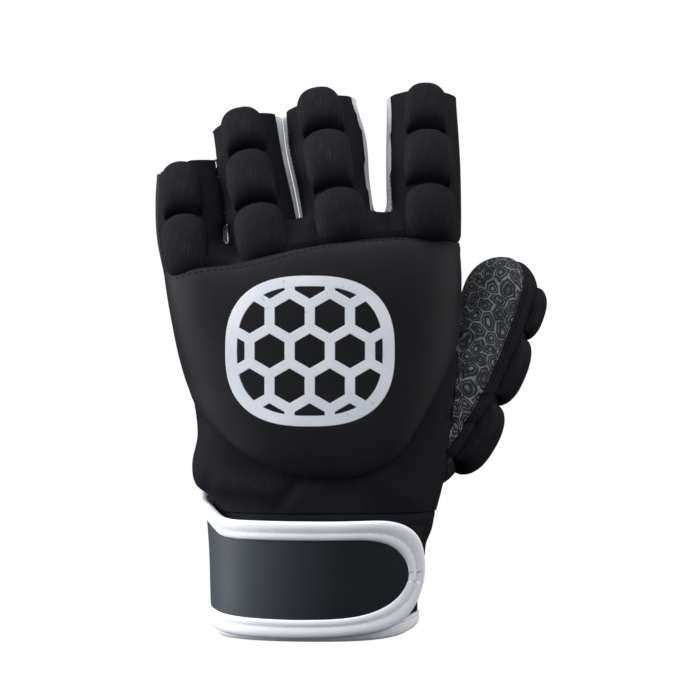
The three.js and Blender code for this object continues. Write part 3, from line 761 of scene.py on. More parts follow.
def thumb_crease_depths(points):
    """How deep the slanting creases press each point of the thumb."""
    thumb = DIGITS["thumb"]
    share, angle, _ = digit_place(thumb, points)
    depth = np.zeros(len(points))
    for place, middle, width, deep in zip(*THUMB_CREASES.values()):
        turn = (np.degrees(angle) - middle + 180) % 360 - 180
        across = (share - place) * thumb["length"] - turn * CREASE_SLANT
        depth += deep * np.exp(-((across / width) ** 2)) * np.exp(-((turn / CREASE_REACH) ** 2))
    return depth


def digit_place(digit, points):
    """Share along a digit, angle round it and distance from its middle line, for points near it."""
    share = np.zeros(len(points))
    best = np.full(len(points), 1e9)
    for i in range(AXIS_STEPS + 1):
        far = ((points - digit["at"][i]) ** 2).sum(1)
        closer = far < best
        best[closer] = far[closer]
        share[closer] = i / AXIS_STEPS
    at = frame_at(digit, share)
    share = share + ((points - at["at"]) * at["along"]).sum(1) / digit["length"]
    at = frame_at(digit, share)
    offset = points - at["at"]
    angle = np.arctan2((offset * at["side"]).sum(1), (offset * at["back"]).sum(1))
    return share, angle % (2 * math.pi), np.sqrt(best)


# Places where two fingers part, in X and Z, whose corners are rounded out, with the distances
# over which that fades and how often the points are evened
WEB_CORNERS = ((-1.0, 155.0), (27.0, 155.5))
WEB_REACH = (3.5, 9.0)
WEB_ROUNDS = 60


def round_webs(form):
    """Evens out the outside of the cloth where the ring, middle and index fingers part."""
    flat = points_of(form.data)[:, [0, 2]]
    far = np.min([np.linalg.norm(flat - corner, axis=1) for corner in WEB_CORNERS], axis=0)
    group = form.vertex_groups.new(name="webs")
    strength = np.round(1 - smooth_step(far, *WEB_REACH), 1)
    for weight in np.unique(strength[strength > 0]):
        group.add(np.flatnonzero(strength == weight).tolist(), float(weight), "REPLACE")
    modify(form, "SMOOTH", factor=0.5, iterations=WEB_ROUNDS, vertex_group=group.name)
    applied(form)


def make_outer_form():
    """The outside of the cloth, smooth and with its folds."""
    form = joined_form("outer", DIGITS)
    round_webs(form)
    points, normals = points_of(form.data), normals_of(form.data)
    _, _, from_thumb = digit_place(DIGITS["thumb"], points)
    lift = fold_heights(points, normals)
    near_thumb = from_thumb < CREASE_FADE[1]
    off_hand = 1 - smooth_step(from_thumb[near_thumb], *CREASE_FADE)
    lift[near_thumb] -= thumb_crease_depths(points[near_thumb]) * off_hand
    move_points(form.data, points + normals * lift[:, None])
    return form


# Narrow gaps between fingers, which the soft cloth of their sides fills. The lips of black cloth
# in front close a share of the space, which changes from below to above over a blend round a
# height. Behind them the sides close the whole space.
FILLED_GAPS = {
    "gusset_little_ring": dict(height=151.0, blend=2.0, above=0.96, below=0.3),
    "gusset_ring_middle": dict(height=168.0, blend=14.0, above=0.25, below=0.5),
}
# The distance that each side keeps from the middle, and the most that it swells
GAP_LEFT = 0.15
GAP_MOST = 4.0
# A finger's own side lies within this distance of its middle line, above this height, and no
# further round than this sine of its angle
GAP_REACH = 19.0
GAP_LOWEST = 134
GAP_ROUND = -0.5
# The ranges over which the swelling fades: the lips and the part behind them by the distance
# from the gusset towards the back of the hand, the deep end by the same distance from the
# finger's middle line, the edges by how much they face the gap, and the upper end by the height
# over the end of the shorter finger
GAP_LIPS = (3, 9)
GAP_BEHIND = (-2.5, -0.2)
GAP_DEEPEST = (-9, -6)
GAP_FACING = (0.1, 0.4)
GAP_END = (2, 5)


def faded(value, fade, start=0.0):
    """1 before a range and 0 past it. The range is counted from start."""
    return 1 - smooth_step(value, start + fade[0], start + fade[1])


def gap_closing(points, facing):
    """How far along X the sides of neighbouring fingers swell towards each other."""
    closing = np.zeros(len(points))
    share = np.linspace(0, 1.05, 40)
    for name, gap in FILLED_GAPS.items():
        gusset = GUSSETS[name]
        pair = [DIGITS[digit_name] for digit_name in gusset["between"]]
        turns = (math.pi / 2, -math.pi / 2)
        walls = [digit_point(digit, share, turn) for digit, turn in zip(pair, turns)]
        lowest_end = min(wall[-1, 2] for wall in walls)
        front = gusset["to_back"] + gusset["half"]
        for digit, side in zip(pair, (1, -1)):
            towards = facing[:, 0] * side
            near = np.flatnonzero((towards > GAP_FACING[0]) & (points[:, 2] > GAP_LOWEST))
            _, angle, far = digit_place(digit, points[near])
            own = (far < GAP_REACH) & (np.sin(angle) * side > GAP_ROUND)
            near, angle, far = (values[own] for values in (near, angle, far))
            z = points[near, 2]
            middle = sum(np.interp(z, wall[:, 2], wall[:, 0]) for wall in walls) / 2
            space = np.clip((middle - points[near, 0]) * side - GAP_LEFT, 0, GAP_MOST)
            depth = far * np.cos(angle)
            higher = smooth_step(z, gap["height"] - gap["blend"], gap["height"] + gap["blend"])
            lip = mix(gap["below"], gap["above"], higher)
            shut = lip * faded(depth, GAP_LIPS, front) + (1 - lip) * faded(depth, GAP_BEHIND, front)
            shut *= smooth_step(depth, *GAP_DEEPEST)
            shut *= smooth_step(towards[near], *GAP_FACING) * faded(z, GAP_END, lowest_end)
            closing[near] += side * space * shut
    return closing


# How far from a seam its groove begins and how deep it gets, and how near to the form's surface
# the points of a panel's outer face lie
GROOVE_REACH = 2.6
GROOVE_DEPTH = 0.75
ON_SURFACE = 0.08
SURFACE_REACH = 2.0


def sink_seams(pieces, form):
    """Pulls the outer face of each panel in where it meets another panel."""
    surface = tree_of(form)
    trees = {piece: tree_of(piece) for piece in pieces}
    moved = {}
    for piece in pieces:
        points = points_of(piece.data)
        off_surface, _, facing = nearest(surface, points, SURFACE_REACH)
        to_seam = np.full(len(points), GROOVE_REACH)
        for other, tree in trees.items():
            if other is not piece:
                to_seam = np.minimum(to_seam, nearest(tree, points, GROOVE_REACH)[0])
        outside = off_surface < ON_SURFACE
        depth = GROOVE_DEPTH * (1 - smooth_step(to_seam, 0, GROOVE_REACH)) * outside
        moved[piece] = points - facing * depth[:, None]
        moved[piece][:, 0] += gap_closing(points, facing) * outside
    for piece, points in moved.items():
        move_points(piece.data, points)


def without(name, *objects):
    """A copy of the first object, with the others cut away."""
    return combined(name, objects, "DIFFERENCE")


def within(name, *objects):
    """A copy of the part of the first object that lies in all the others."""
    return combined(name, objects, "INTERSECT")


def make_panels():
    """The shell's panels, each a closed wall of cloth, in the places of the solids they replace."""
    outer = make_outer_form()
    inner = joined_form("inner", DIGITS)
    gap = SEAM_GAP / 2
    bottom = CUFF_TOP + gap
    top_part = above([(FAR["left"], bottom), (FAR["right"], bottom)])
    shell = without("shell", outer, inner, *(end_space(name) for name in FINGERS))
    shell = keep_largest(within("shell", shell, top_part))
    hand = joined_form("hand", FINGERS)
    hand_and_seam = joined_form("hand_and_seam", FINGERS)
    clear = [gusset_space(gusset, SEAM_GAP) for gusset in GUSSETS.values()]
    plain = without("plain", shell, *clear, thumb_wedge(SEAM_GAP))
    back_half = within("back", plain, back_side(-SIDE_SEAM_GAP), hand)
    palm_half = without("palm_half", within("in_hand", plain, hand), back_side(SIDE_SEAM_GAP))
    panels = {
        "finger_back_panel": within("finger_back", back_half, above(seam_line(gap))),
        "hand_back_panel": without("hand_back", back_half, above(seam_line(-gap))),
        "finger_front_panel": within("finger_front", palm_half, above(seam_line(gap))),
        "palm_panel": without("palm", palm_half, above(seam_line(-gap))),
        "thumb_panel": without("thumb", plain, hand_and_seam),
        "thumb_back_panel": within("thumb_back", shell, thumb_wedge(0)),
    }
    for name, gusset in GUSSETS.items():
        panels[name] = within(name, shell, gusset_space(gusset, 0))
    for made in panels.values():
        keep_largest(made)
    sink_seams(list(panels.values()), outer)
    return panels


# Padded pieces

# How a pad is made: the height of its cover's thin rim, the points across and along it, how
# squarely it drops at its sides, top and bottom, and how round its upper and lower corners are
DIGIT_PAD = dict(rim=0.3, counts=(41, 41), fall=(3.2, 2.4, 2.8), corner=(0.24, 0.06))
BACK_PAD = dict(rim=0.7, counts=(121, 101), fall=(4.5, 5, 4), corner=(0, 0))
# How far a pad's underside lies in the cloth
PAD_SUNK = 0.9
# Half width and half length of the back pad laid flat, and a digit's radius for its pads
BACK_PAD_FLAT = (50, 42)
DIGIT_PAD_RADIUS = 13


def pad_solid(name, point_at, size, height, rim, counts, fall, corner):
    """A closed foam pad over a patch of surface.

    point_at(u, v, grow) gives the surface for u and v from -1 to 1, and size is the patch's
    half width and half length.
    """
    sides, top, bottom = fall
    u = np.sin(np.linspace(-1, 1, counts[0]) * math.pi / 2)[None]
    v = np.sin(np.linspace(-1, 1, counts[1]) * math.pi / 2)[:, None]
    crown = lambda w, power: np.sqrt(np.maximum(1 - np.abs(w) ** power, 0))
    lift = rim + (height - rim) * crown(u, sides) * np.where(v > 0, crown(v, top), crown(v, bottom))
    pinch = np.sqrt(1 - np.where(v > 0, *corner) * (u * v) ** 2)
    round_u, round_v = u * pinch, v * pinch
    upper = point_at(round_u, round_v, lift)
    lower = point_at(round_u, round_v, np.full(lift.shape, -PAD_SUNK))
    rows, columns = lift.shape
    count = rows * columns
    faces = grid_faces(rows, columns)
    faces += [tuple(reversed(face)) for face in grid_faces(rows, columns, first=count)]
    rim_line = list(range(columns))
    rim_line += [r * columns + columns - 1 for r in range(1, rows)]
    rim_line += [(rows - 1) * columns + c for c in range(columns - 2, -1, -1)]
    rim_line += [r * columns for r in range(rows - 2, 0, -1)]
    for a, b in zip(rim_line, rim_line[1:] + rim_line[:1]):
        faces.append((b, a, a + count, b + count))
    made = outward(new_object(name, np.vstack([upper.reshape(-1, 3), lower.reshape(-1, 3)]), faces))
    flat = np.stack(np.broadcast_arrays(round_u * size[0], round_v * size[1]), -1).reshape(-1, 2)
    lay_flat(made, np.vstack([flat, flat]))
    return soften(made, 75)


def lay_flat(made, flat):
    """Gives a piece a map of its cloth, in millimetres, for its weave and its prints."""
    layer = made.data.uv_layers.new(name="cloth")
    corners = np.empty(len(made.data.loops), np.int32)
    made.data.loops.foreach_get("vertex_index", corners)
    layer.data.foreach_set("uv", flat[corners].astype(np.float32).ravel())


def digit_pad(name, digit, pad):
    """One pad of a digit, from its row in PADS."""

    def point_at(u, v, grow):
        up = (v + 1) / 2
        arch = mix(pad["bottom"], pad["top"], up) * u**2
        share = mix(pad["end"], pad["start"], up) - arch / digit["length"]
        narrow = 1 - pad["round"] * (1 - np.sqrt(1 - np.maximum(v, 0) ** 2))
        return digit_point(digit, share, np.radians(pad["turn"] + u * pad["half"] * narrow), grow)

    half_width = math.radians(pad["half"]) * DIGIT_PAD_RADIUS
    half_length = (pad["start"] - pad["end"]) * digit["length"] / 2
    return pad_solid(name, point_at, (half_width, half_length), pad["height"], **DIGIT_PAD)


def back_pad_point(u, v, grow):
    """Points of the hand under its back pad, for u and v from -1 to 1."""
    u, v, grow = spread(u, v, grow)
    rise = (v + 1) / 2
    left = value_at(BACK_PAD_ROWS, "rise", "left", rise)
    right = value_at(BACK_PAD_ROWS, "rise", "right", rise)
    share = np.clip(mix(left, right, (u + 1) / 2), -1, 1)
    angle = -np.arccos(np.sign(share) * np.abs(share) ** (BODY_SQUARENESS / 2))
    x = body_point(BACK_PAD_LOWEST, angle, 0)[..., 0]
    highest = value_at(KNUCKLE_SEAM, "x", "z", x) - BACK_PAD_BELOW_SEAM
    return body_at_height(mix(BACK_PAD_LOWEST, highest, rise), angle, grow)


def make_back_pad():
    return pad_solid("cover_back_pad", back_pad_point, BACK_PAD_FLAT, BACK_PAD_HEIGHT, **BACK_PAD)


# Rings of cloth round the wrist

# Points round a ring, and its radius laid flat
RING_SIDES = 200
RING_RADIUS = 35


def ring_solid(name, profile, waves=None):
    """A closed ring round the wrist from a closed profile of heights and distances outwards."""
    angles = round_turn(RING_SIDES)[0]
    rings = []
    for z, grow in profile:
        extra = waves(z, angles) if waves else 0
        rings.append(body_point(z, angles, grow + extra))
    rings.append(rings[0])
    points = np.array(rings)
    count, across = points.shape[:2]
    faces = grid_faces(count, across, closed=True)
    last = (count - 1) * across
    faces = [tuple(i - last if i >= last else i for i in face) for face in faces]
    made = outward(new_object(name, points[:-1].reshape(-1, 3), faces))
    lay_flat(made, np.array([[angle * RING_RADIUS, z] for z, _ in profile for angle in angles]))
    return soften(made, 60)


def cuff_waves(z, angles):
    """The soft unevenness of the worn cuff, in millimetres outwards."""
    return 0.25 * np.sin(3 * angles + z * 0.35) * np.sin(z * 0.22) + 0.12 * np.sin(7 * angles - z * 0.6)


def make_cuff():
    low, high = HEM_WIDTH + SEAM_GAP, CUFF_TOP - SEAM_GAP / 2
    up = np.linspace(low, high, 40)
    outer = [(z, -0.5 * (1 - smooth_step(high - z, 0, 1.6))) for z in up]
    inner = [(z, -WALL) for z in up[::-2]]
    return ring_solid("cloth_cuff", outer + inner, waves=cuff_waves)


# The hem tape's section, down its outer face and up its inner: heights and distances outwards,
# with the crease of its seam near the top
HEM_FRONT = (
    (6.3, 0.3), (6.2, 0.9), (5.8, 1.15), (5.2, 1.05), (4.9, 0.9), (4.6, 1.05), (4.0, 1.2),
    (2.6, 1.3), (1.4, 1.2), (0.6, 0.7), (0.15, 0.0), (0.0, -0.9),
)
HEM_BACK = (
    (0.0, -1.8), (0.4, -2.9), (1.4, -3.3), (3.4, -3.4), (5.6, -3.3), (6.2, -3.0), (6.3, -2.6))
HEM_CREASE = (4.9, 0.9)


def make_hem_tape():
    """The white tape folded round the lower edge of the cuff."""
    return ring_solid("tape_cuff_hem", HEM_FRONT + HEM_BACK)


# Wrist strap

def strap_point(inset, u, v, grow):
    """Points of the strap, inset from its outline.

    u runs from -1 at its round end to 1 at its seam, and v from its lower edge to its upper.
    """
    inset, u, v, grow = spread(inset, u, v, grow)
    end = STRAP_END_ANGLE - inset * STRAP_INSET_ANGLE
    angle = mix(end, STRAP_SEWN_ANGLE, (u + 1) / 2)
    top = value_at(STRAP_EDGES, "angle", "top", angle) - inset
    bottom = value_at(STRAP_EDGES, "angle", "bottom", angle) + inset
    into_round = np.maximum(1 - (end - angle) / (STRAP_END_ROUND - inset), 0)
    bend, close, least = STRAP_CURVE
    open_part = np.maximum((1 - into_round**bend) ** close, least)
    height = (top + bottom) / 2 + v * open_part * (top - bottom) / 2
    lifted = np.maximum(angle - STRAP_LIFT_FROM, 0) / (STRAP_END_ANGLE - STRAP_LIFT_FROM)
    points = body_at_height(height, np.radians(angle), grow)
    points[..., 1] -= STRAP_LIFT * lifted**2
    return points


def strap_stations(count):
    """Places along the strap, close together at its round end."""
    w = np.linspace(-1, 1, count)
    return np.where(w < -0.5, -1 + 2 * (w + 1) ** 2, w)


def folded(upper, lower):
    """Rings round a sheet's section, over its outer face and back along its inner face."""
    return np.concatenate([upper, lower[:, ::-1]], axis=1)


def map_grid(made, rows, columns):
    """Lays a grid of points flat, by the place of each row and of each column."""
    lay_flat(made, np.stack(np.meshgrid(rows, columns, indexing="ij"), -1).reshape(-1, 2))


# The strap's rubber: how far its edges lie inside the tape's, its inner and outer face's
# distances from the wrist, how far its middle bulges, and its length and half width laid flat
PANEL_INSET = 5.9
PANEL_FACES = (2.5, 3.75)
PANEL_BULGE = 0.35
PANEL_FLAT = (190, 16)
PANEL_STEPS = 200


def make_strap_panel():
    """The rubber of the strap, whose edges lie inside the tape."""
    u = strap_stations(PANEL_STEPS)[:, None]
    v = np.linspace(-1, 1, 31)[None]
    upper = strap_point(PANEL_INSET, u, v, PANEL_FACES[1] + PANEL_BULGE * (1 - v**4))
    lower = strap_point(PANEL_INSET, u, v, PANEL_FACES[0])
    made = tube("rubber_wrist_strap", folded(upper, lower))
    length, half_width = PANEL_FLAT
    map_grid(made, np.linspace(0, length, PANEL_STEPS), folded(v, v)[0] * half_width)
    return soften(made, 40)


# The tape's section: how far in from the strap's edge and how far out from the wrist
BINDING_FRONT = (
    (0.0, 3.0), (0.05, 3.6), (0.3, 4.15), (0.8, 4.5), (1.6, 4.7), (2.6, 4.7), (3.5, 4.5),
    (3.95, 4.38), (4.2, 4.3), (4.45, 4.38), (4.9, 4.5), (5.6, 4.52), (6.3, 4.42), (6.7, 4.15),
    (6.8, 3.9),
)
BINDING_BACK = ((6.8, 2.3), (6.6, 2.0), (5.2, 1.7), (3.4, 1.55), (1.6, 1.6), (0.6, 1.8), (0.1, 2.3))
BINDING_CREASE = (4.2, 4.3)


def strap_outline(inset, grow, count=230):
    """The line round the strap at an inset, from its seam over the top and back below."""
    u = strap_stations(count)
    top = strap_point(inset, u[::-1], 1.0, grow)
    end = strap_point(inset, np.full(5, -1.0), np.linspace(1, -1, 7)[1:-1], grow)
    bottom = strap_point(inset, u, -1.0, grow)
    return np.vstack([top, end, bottom])


def run_along(line):
    """The distance along a line to each of its points."""
    return np.concatenate([[0], np.linalg.norm(np.diff(line, axis=0), axis=1).cumsum()])


def make_binding():
    """The white tape folded round the strap's edges."""
    section = BINDING_FRONT + BINDING_BACK
    lines = np.array([strap_outline(inset, grow) for inset, grow in section])
    made = tube("tape_strap_binding", lines.transpose(1, 0, 2))
    map_grid(made, run_along(lines[3]), [inset for inset, _ in section])
    return soften(made, 60)


def make_fastener():
    """The loop patch on the cuff under the strap's end."""
    u = np.linspace(-1, 1, 90)[:, None]
    v = np.linspace(-1, 1, 24)[None]
    angle = np.radians(mix(FASTENER["start"], FASTENER["end"], (u + 1) / 2))
    height = mix(FASTENER["bottom"], FASTENER["top"], (v + 1) / 2)
    upper = body_at_height(height, angle, SEAM_GAP + FASTENER["thick"])
    lower = body_at_height(height, angle, -FASTENER["sunk"])
    return soften(tube("loop_fastener", folded(upper, lower)), 50)


# Threads

# Each kind of stitch: its pitch, length and thickness
STITCHES = {
    "knuckle_seam": (2.4, 1.6, 0.3),
    "back_pad": (2.1, 1.3, 0.5),
    "gussets": (1.9, 1.2, 0.3),
    "finger_sides": (2.2, 1.3, 0.32),
    "thumb": (2.3, 1.6, 0.38),
    "binding": (2.7, 2.0, 0.24),
    "hem": (2.7, 2.0, 0.26),
}
# How much a stitch beside a gusset slants
GUSSET_SLANT = 0.25
# Where rows of stitches run: their ends across the hand in millimetres or as shares of a digit's
# length, and how far they lie beside the seam, in millimetres or, on the thumb, in degrees. The
# row at the knuckles is found from a place in front of the hand.
KNUCKLE_ROW = dict(left=-51, right=49, beside=1.5, seen_from=-80)
GUSSET_ROW = dict(above_root=0.04, end=0.985, beside=0.9)
SIDE_ROW = dict(start=0.42, end=0.97, angle=62)
THUMB_ROW = dict(above_root=0.07, end=0.9, beside=5.5)


def spaced_along(path, pitch):
    """Places at equal steps along a line, with the direction there."""
    path = np.asarray(path, float)
    run = run_along(path)
    at = np.arange(pitch / 2, run[-1], pitch)
    place = lambda d: np.stack([np.interp(d, run, path[:, k]) for k in range(3)], -1)
    ahead = place(np.minimum(at + 0.3, run[-1])) - place(np.maximum(at - 0.3, 0))
    return place(at), ahead / np.linalg.norm(ahead, axis=1, keepdims=True)


def joined(parts):
    """Points and faces of several meshes as those of one."""
    points, faces = [], []
    for more_points, more_faces in parts:
        first = len(points)
        points.extend(more_points)
        faces.extend(tuple(first + k for k in face) for face in more_faces)
    return points, faces


def stitch_row(path, tree, pitch, length, thick, across=False, slant=0.0):
    """Points and faces of a row of stitches that lie on the faces of a search tree."""
    places, ahead = spaced_along(path, pitch)
    _, places, facing = nearest(tree, places)
    sideways = np.cross(ahead, facing)
    run = sideways if across else ahead
    run = run + slant * (ahead if across else sideways)
    run /= np.linalg.norm(run, axis=1, keepdims=True)
    other = np.cross(run, facing)
    turns = round_turn(6)[0]
    parts = []
    for i, place in enumerate(places):
        wander = 1 + 0.14 * math.sin(i * 2.4)
        rings = []
        for step in np.linspace(-1, 1, 7):
            radius = thick / 2 * math.sqrt(max(1 - step**4, 0.04))
            middle = place + run[i] * step * length * wander / 2
            middle = middle + facing[i] * (0.3 * thick - 0.35 * thick * step**2)
            rings.append([
                middle + radius * (math.cos(turn) * other[i] + math.sin(turn) * facing[i])
                for turn in turns])
        parts.append(tube_mesh(rings))
    return joined(parts)


def stitching(name, rows):
    """One piece from several rows of stitches."""
    return outward(new_object(name, *joined(rows)))


def stitch_rows(kind, paths, tree, **turned_by):
    """Rows of one kind of stitch along several lines."""
    return [stitch_row(path, tree, *STITCHES[kind], **turned_by) for path in paths]


def knuckle_line(tree):
    """The line below the knuckle seam, on the faces at the front."""
    x = np.linspace(KNUCKLE_ROW["left"], KNUCKLE_ROW["right"], 120)
    z = value_at(KNUCKLE_SEAM, "x", "z", x) - KNUCKLE_ROW["beside"]
    starts = [Vector((px, KNUCKLE_ROW["seen_from"], pz)) * MM for px, pz in zip(x, z)]
    hits = [tree.ray_cast(start, Vector((0, 1, 0)))[0] for start in starts]
    return np.array([hit for hit in hits if hit is not None]) / MM


# The stitches round the back pad lie at this share of its half width and half height, begin at
# this share up its sides and lie this far out from the hand
BORDER_REACH = 1.006
BORDER_TOP = 0.55
BORDER_LIFT = 0.8


def pad_border():
    """The line along the sides and the lower edge of the pad on the back of the hand."""
    down = np.linspace(BORDER_TOP, -BORDER_REACH, 50)
    across = np.linspace(-BORDER_REACH, BORDER_REACH, 60)
    up = np.linspace(-BORDER_REACH, BORDER_TOP, 50)
    parts = ((-BORDER_REACH, down), (across, -BORDER_REACH), (BORDER_REACH, up))
    return np.vstack([back_pad_point(u, v, BORDER_LIFT) for u, v in parts])


def gusset_edges():
    """Lines on the fingers beside the stretch cloth between them."""
    for gusset in GUSSETS.values():
        for name, side in zip(gusset["between"], (1, -1)):
            digit = DIGITS[name]
            share = np.linspace(gusset["root"] + GUSSET_ROW["above_root"], GUSSET_ROW["end"], 60)
            depth = half_size(digit, "depth", share, 0)
            reach = (gusset["to_back"] + gusset["half"] + GUSSET_ROW["beside"]) / depth
            angle = np.arccos(reach ** (DIGIT_SQUARENESS / 2))
            yield digit_point(digit, share, side * angle)


def finger_sides():
    """Lines along the outer sides of the outer fingers."""
    share = np.linspace(SIDE_ROW["start"], SIDE_ROW["end"], 60)
    for name, side in (("little", -1), ("index", 1)):
        yield digit_point(DIGITS[name], share, math.radians(side * SIDE_ROW["angle"]))


def thumb_edges():
    """Lines on both sides of both edges of the plain strip along the back of the thumb."""
    share = np.linspace(THUMB_BACK_FROM + THUMB_ROW["above_root"], THUMB_ROW["end"], 80)
    for side in (1, -1):
        for beyond in (THUMB_ROW["beside"], -THUMB_ROW["beside"]):
            angle = side * (THUMB_BACK_HALF_ANGLE + beyond)
            yield digit_point(DIGITS["thumb"], share, math.radians(angle))


def hem_line():
    """The seam line round the hem tape."""
    return body_point(HEM_CREASE[0], np.linspace(0, 2 * math.pi, 240), HEM_CREASE[1])


# Materials

class Nodes:
    """Builds one material. Each method adds a node and returns the socket that the next reads."""

    def __init__(self, name):
        self.material = bpy.data.materials.new(name)
        self.material.use_nodes = True
        self.tree = self.material.node_tree
        self.tree.nodes.clear()
        places = self.tree.nodes.new("ShaderNodeTexCoord")
        self.object = places.outputs["Object"]
        self.normal = places.outputs["Normal"]
        self.flat = places.outputs["UV"]

    def add(self, kind, inputs, output=0, **settings):
        node = self.tree.nodes.new("ShaderNode" + kind)
        for key, value in settings.items():
            setattr(node, key, value)
        for key, value in inputs.items():
            if isinstance(value, bpy.types.NodeSocket):
                self.tree.links.new(value, node.inputs[key])
            else:
                node.inputs[key].default_value = value
        return node.outputs[output]

    def math(self, operation, a, b=0.0):
        return self.add("Math", {0: a, 1: b}, operation=operation)

    def product(self, a, b):
        return self.math("MULTIPLY", a, b)

    def blend(self, a, share_a, b, share_b):
        """The sum of shares of two values."""
        return self.math("ADD", self.product(a, share_a), self.product(b, share_b))

    def vector(self, operation, a, b=(0, 0, 0), output="Vector"):
        return self.add("VectorMath", {0: a, 1: b}, output=output, operation=operation)

    def part(self, vector, axis):
        return self.add("SeparateXYZ", {0: vector}, output=axis)

    def place(self, axis):
        """A coordinate of the place on the glove, in metres."""
        return self.part(self.object, axis)

    def scaled(self, vector, scale, turn=0.0):
        """Coordinates in which one unit is one repeat. scale holds repeats for each unit."""
        return self.add("Mapping", {"Vector": vector, "Scale": scale, "Rotation": (0, 0, turn)})

    def noise(self, vector, scale, detail, roughness):
        return self.add(
            "TexNoise", {"Vector": vector, "Scale": scale, "Detail": detail, "Roughness": roughness})

    def cloud(self, scale, detail, roughness=0.5):
        """Noise in object space, the same in all directions."""
        return self.noise(self.object, scale, detail, roughness)

    def grain(self, scale, detail, roughness=0.5):
        """Noise in object space, drawn out by three scales."""
        return self.noise(self.scaled(self.object, scale), 1.0, detail, roughness)

    def weave(self, scale, detail, roughness=0.5):
        """Noise in the flat cloth, drawn out by its scales."""
        return self.noise(self.scaled(self.flat, scale), 1.0, detail, roughness)

    def between(self, value, low, high, out_low=0.0, out_high=1.0):
        """A smooth step from one value to another over a range."""
        return self.add(
            "MapRange",
            {"Value": value, "From Min": low, "From Max": high, "To Min": out_low, "To Max": out_high},
            interpolation_type="SMOOTHSTEP")

    def fading(self, value, low, high):
        """A smooth step from 1 to 0 over a range."""
        return self.between(value, low, high, 1, 0)

    def colour(self, share, a, b):
        ends = {6: a, 7: b}
        for key, end in ends.items():
            ends[key] = (*end, 1) if isinstance(end, tuple) else end
        return self.add("Mix", {0: share, **ends}, output=2, data_type="RGBA")

    def bump(self, height, distance, strength=1.0, normal=None):
        inputs = {"Height": height, "Distance": distance, "Strength": strength}
        if normal is not None:
            inputs["Normal"] = normal
        return self.add("Bump", inputs)

    def finish(self, colour, roughness, normal, **more):
        """The material itself, from its colour, roughness and normal and the shader's other inputs."""
        settings = {"Base Color": colour, "Roughness": roughness, "Normal": normal}
        settings.update({key.replace("_", " "): value for key, value in more.items()})
        output = self.tree.nodes.new("ShaderNodeOutputMaterial")
        self.tree.links.new(self.add("BsdfPrincipled", settings), output.inputs[0])
        return self.material


HEXAGON_REPEAT = (1.0, math.sqrt(3), 1.0)
HEXAGON_HALF = (0.5, math.sqrt(3) / 2, 0.5)
# The net is read far from zero, where a remainder is never below zero
HEXAGON_SHIFT = (1000.0, 1000.0 * math.sqrt(3), 0.0)


def hexagons(nodes, flat):
    """Distance from the sides of a net of hexagons one unit apart, from 0 at a side to 0.5."""
    flat = nodes.vector("MULTIPLY", nodes.vector("ADD", flat, HEXAGON_SHIFT), (1, 1, 0))
    far = []
    for net in (flat, nodes.vector("SUBTRACT", flat, HEXAGON_HALF)):
        offset = nodes.vector("SUBTRACT", nodes.vector("MODULO", net, HEXAGON_REPEAT), HEXAGON_HALF)
        size = nodes.vector("ABSOLUTE", nodes.vector("MULTIPLY", offset, (1, 1, 0)))
        slant = nodes.vector("DOT_PRODUCT", size, (0.5, math.sqrt(3) / 2, 0), output="Value")
        far.append(nodes.math("MAXIMUM", slant, nodes.part(size, "X")))
    return nodes.math("SUBTRACT", 0.5, nodes.math("MINIMUM", *far))


# The glove's black and the same where it catches light
BLACK = (0.0037, 0.0038, 0.0056)
BLACK_LIT = (0.0072, 0.0073, 0.0101)


def knit(nodes):
    """Height of a fine jersey knit in object space, with its ribs upright."""
    ribs = nodes.grain((1500, 1500, 260), detail=1.0)
    loops = nodes.grain((2100, 2100, 2100), detail=2.0, roughness=0.6)
    return nodes.blend(ribs, 0.6, loops, 0.4)


def neoprene():
    """Neoprene faced with a black knit."""
    nodes = Nodes("neoprene")
    cloth = knit(nodes)
    patches = nodes.cloud(55, detail=3)
    share = nodes.blend(cloth, 0.7, patches, 0.5)
    colour = nodes.colour(nodes.between(share, 0.35, 0.85), BLACK, BLACK_LIT)
    roughness = nodes.between(patches, 0.3, 0.7, 0.72, 0.86)
    normal = nodes.bump(cloth, 0.00018, 0.6)
    return nodes.finish(
        colour, roughness, normal, Specular_IOR_Level=0.12, Sheen_Weight=0.01, Sheen_Roughness=0.5)


def pad_cover():
    """Neoprene stretched over foam, whose ribs open into broken pale lines."""
    nodes = Nodes("pad_cover")
    cloth = knit(nodes)
    streak = nodes.weave((1.9, 0.16, 1), detail=3.0, roughness=0.65)
    fine = nodes.weave((2.6, 0.3, 1), detail=1.0)
    patch = nodes.cloud(48, detail=2)
    lines = nodes.product(nodes.between(streak, 0.58, 0.74), nodes.between(patch, 0.4, 0.62))
    share = nodes.blend(fine, 0.5, patch, 0.5)
    colour = nodes.colour(nodes.between(share, 0.3, 0.75), BLACK, BLACK_LIT)
    colour = nodes.colour(nodes.product(lines, 0.4), colour, (0.05, 0.053, 0.058))
    roughness = nodes.between(streak, 0.35, 0.7, 0.86, 0.7)
    ribs = nodes.blend(fine, 0.5, streak, 0.7)
    normal = nodes.bump(cloth, 0.00015, 0.5, nodes.bump(ribs, 0.0003, 0.55))
    return nodes.finish(
        colour, roughness, normal, Specular_IOR_Level=0.14, Sheen_Weight=0.012, Sheen_Roughness=0.45)


# The badge on the back of the hand: a net of hexagons in a round-cornered border, with the
# share of its half size where the border begins, half a line's width and the blur of its edges
BADGE_CENTRE = (-1.8, 104.4)
BADGE_HALF = (30.4, 27.0)
BADGE_SQUARENESS = 2.6
BADGE_CELL = 14.4
BADGE_BORDER = 0.86
BADGE_LINE = 0.125
BADGE_BLUR = dict(line=0.012, border=0.006)
WHITE_INK = (0.72, 0.74, 0.8)


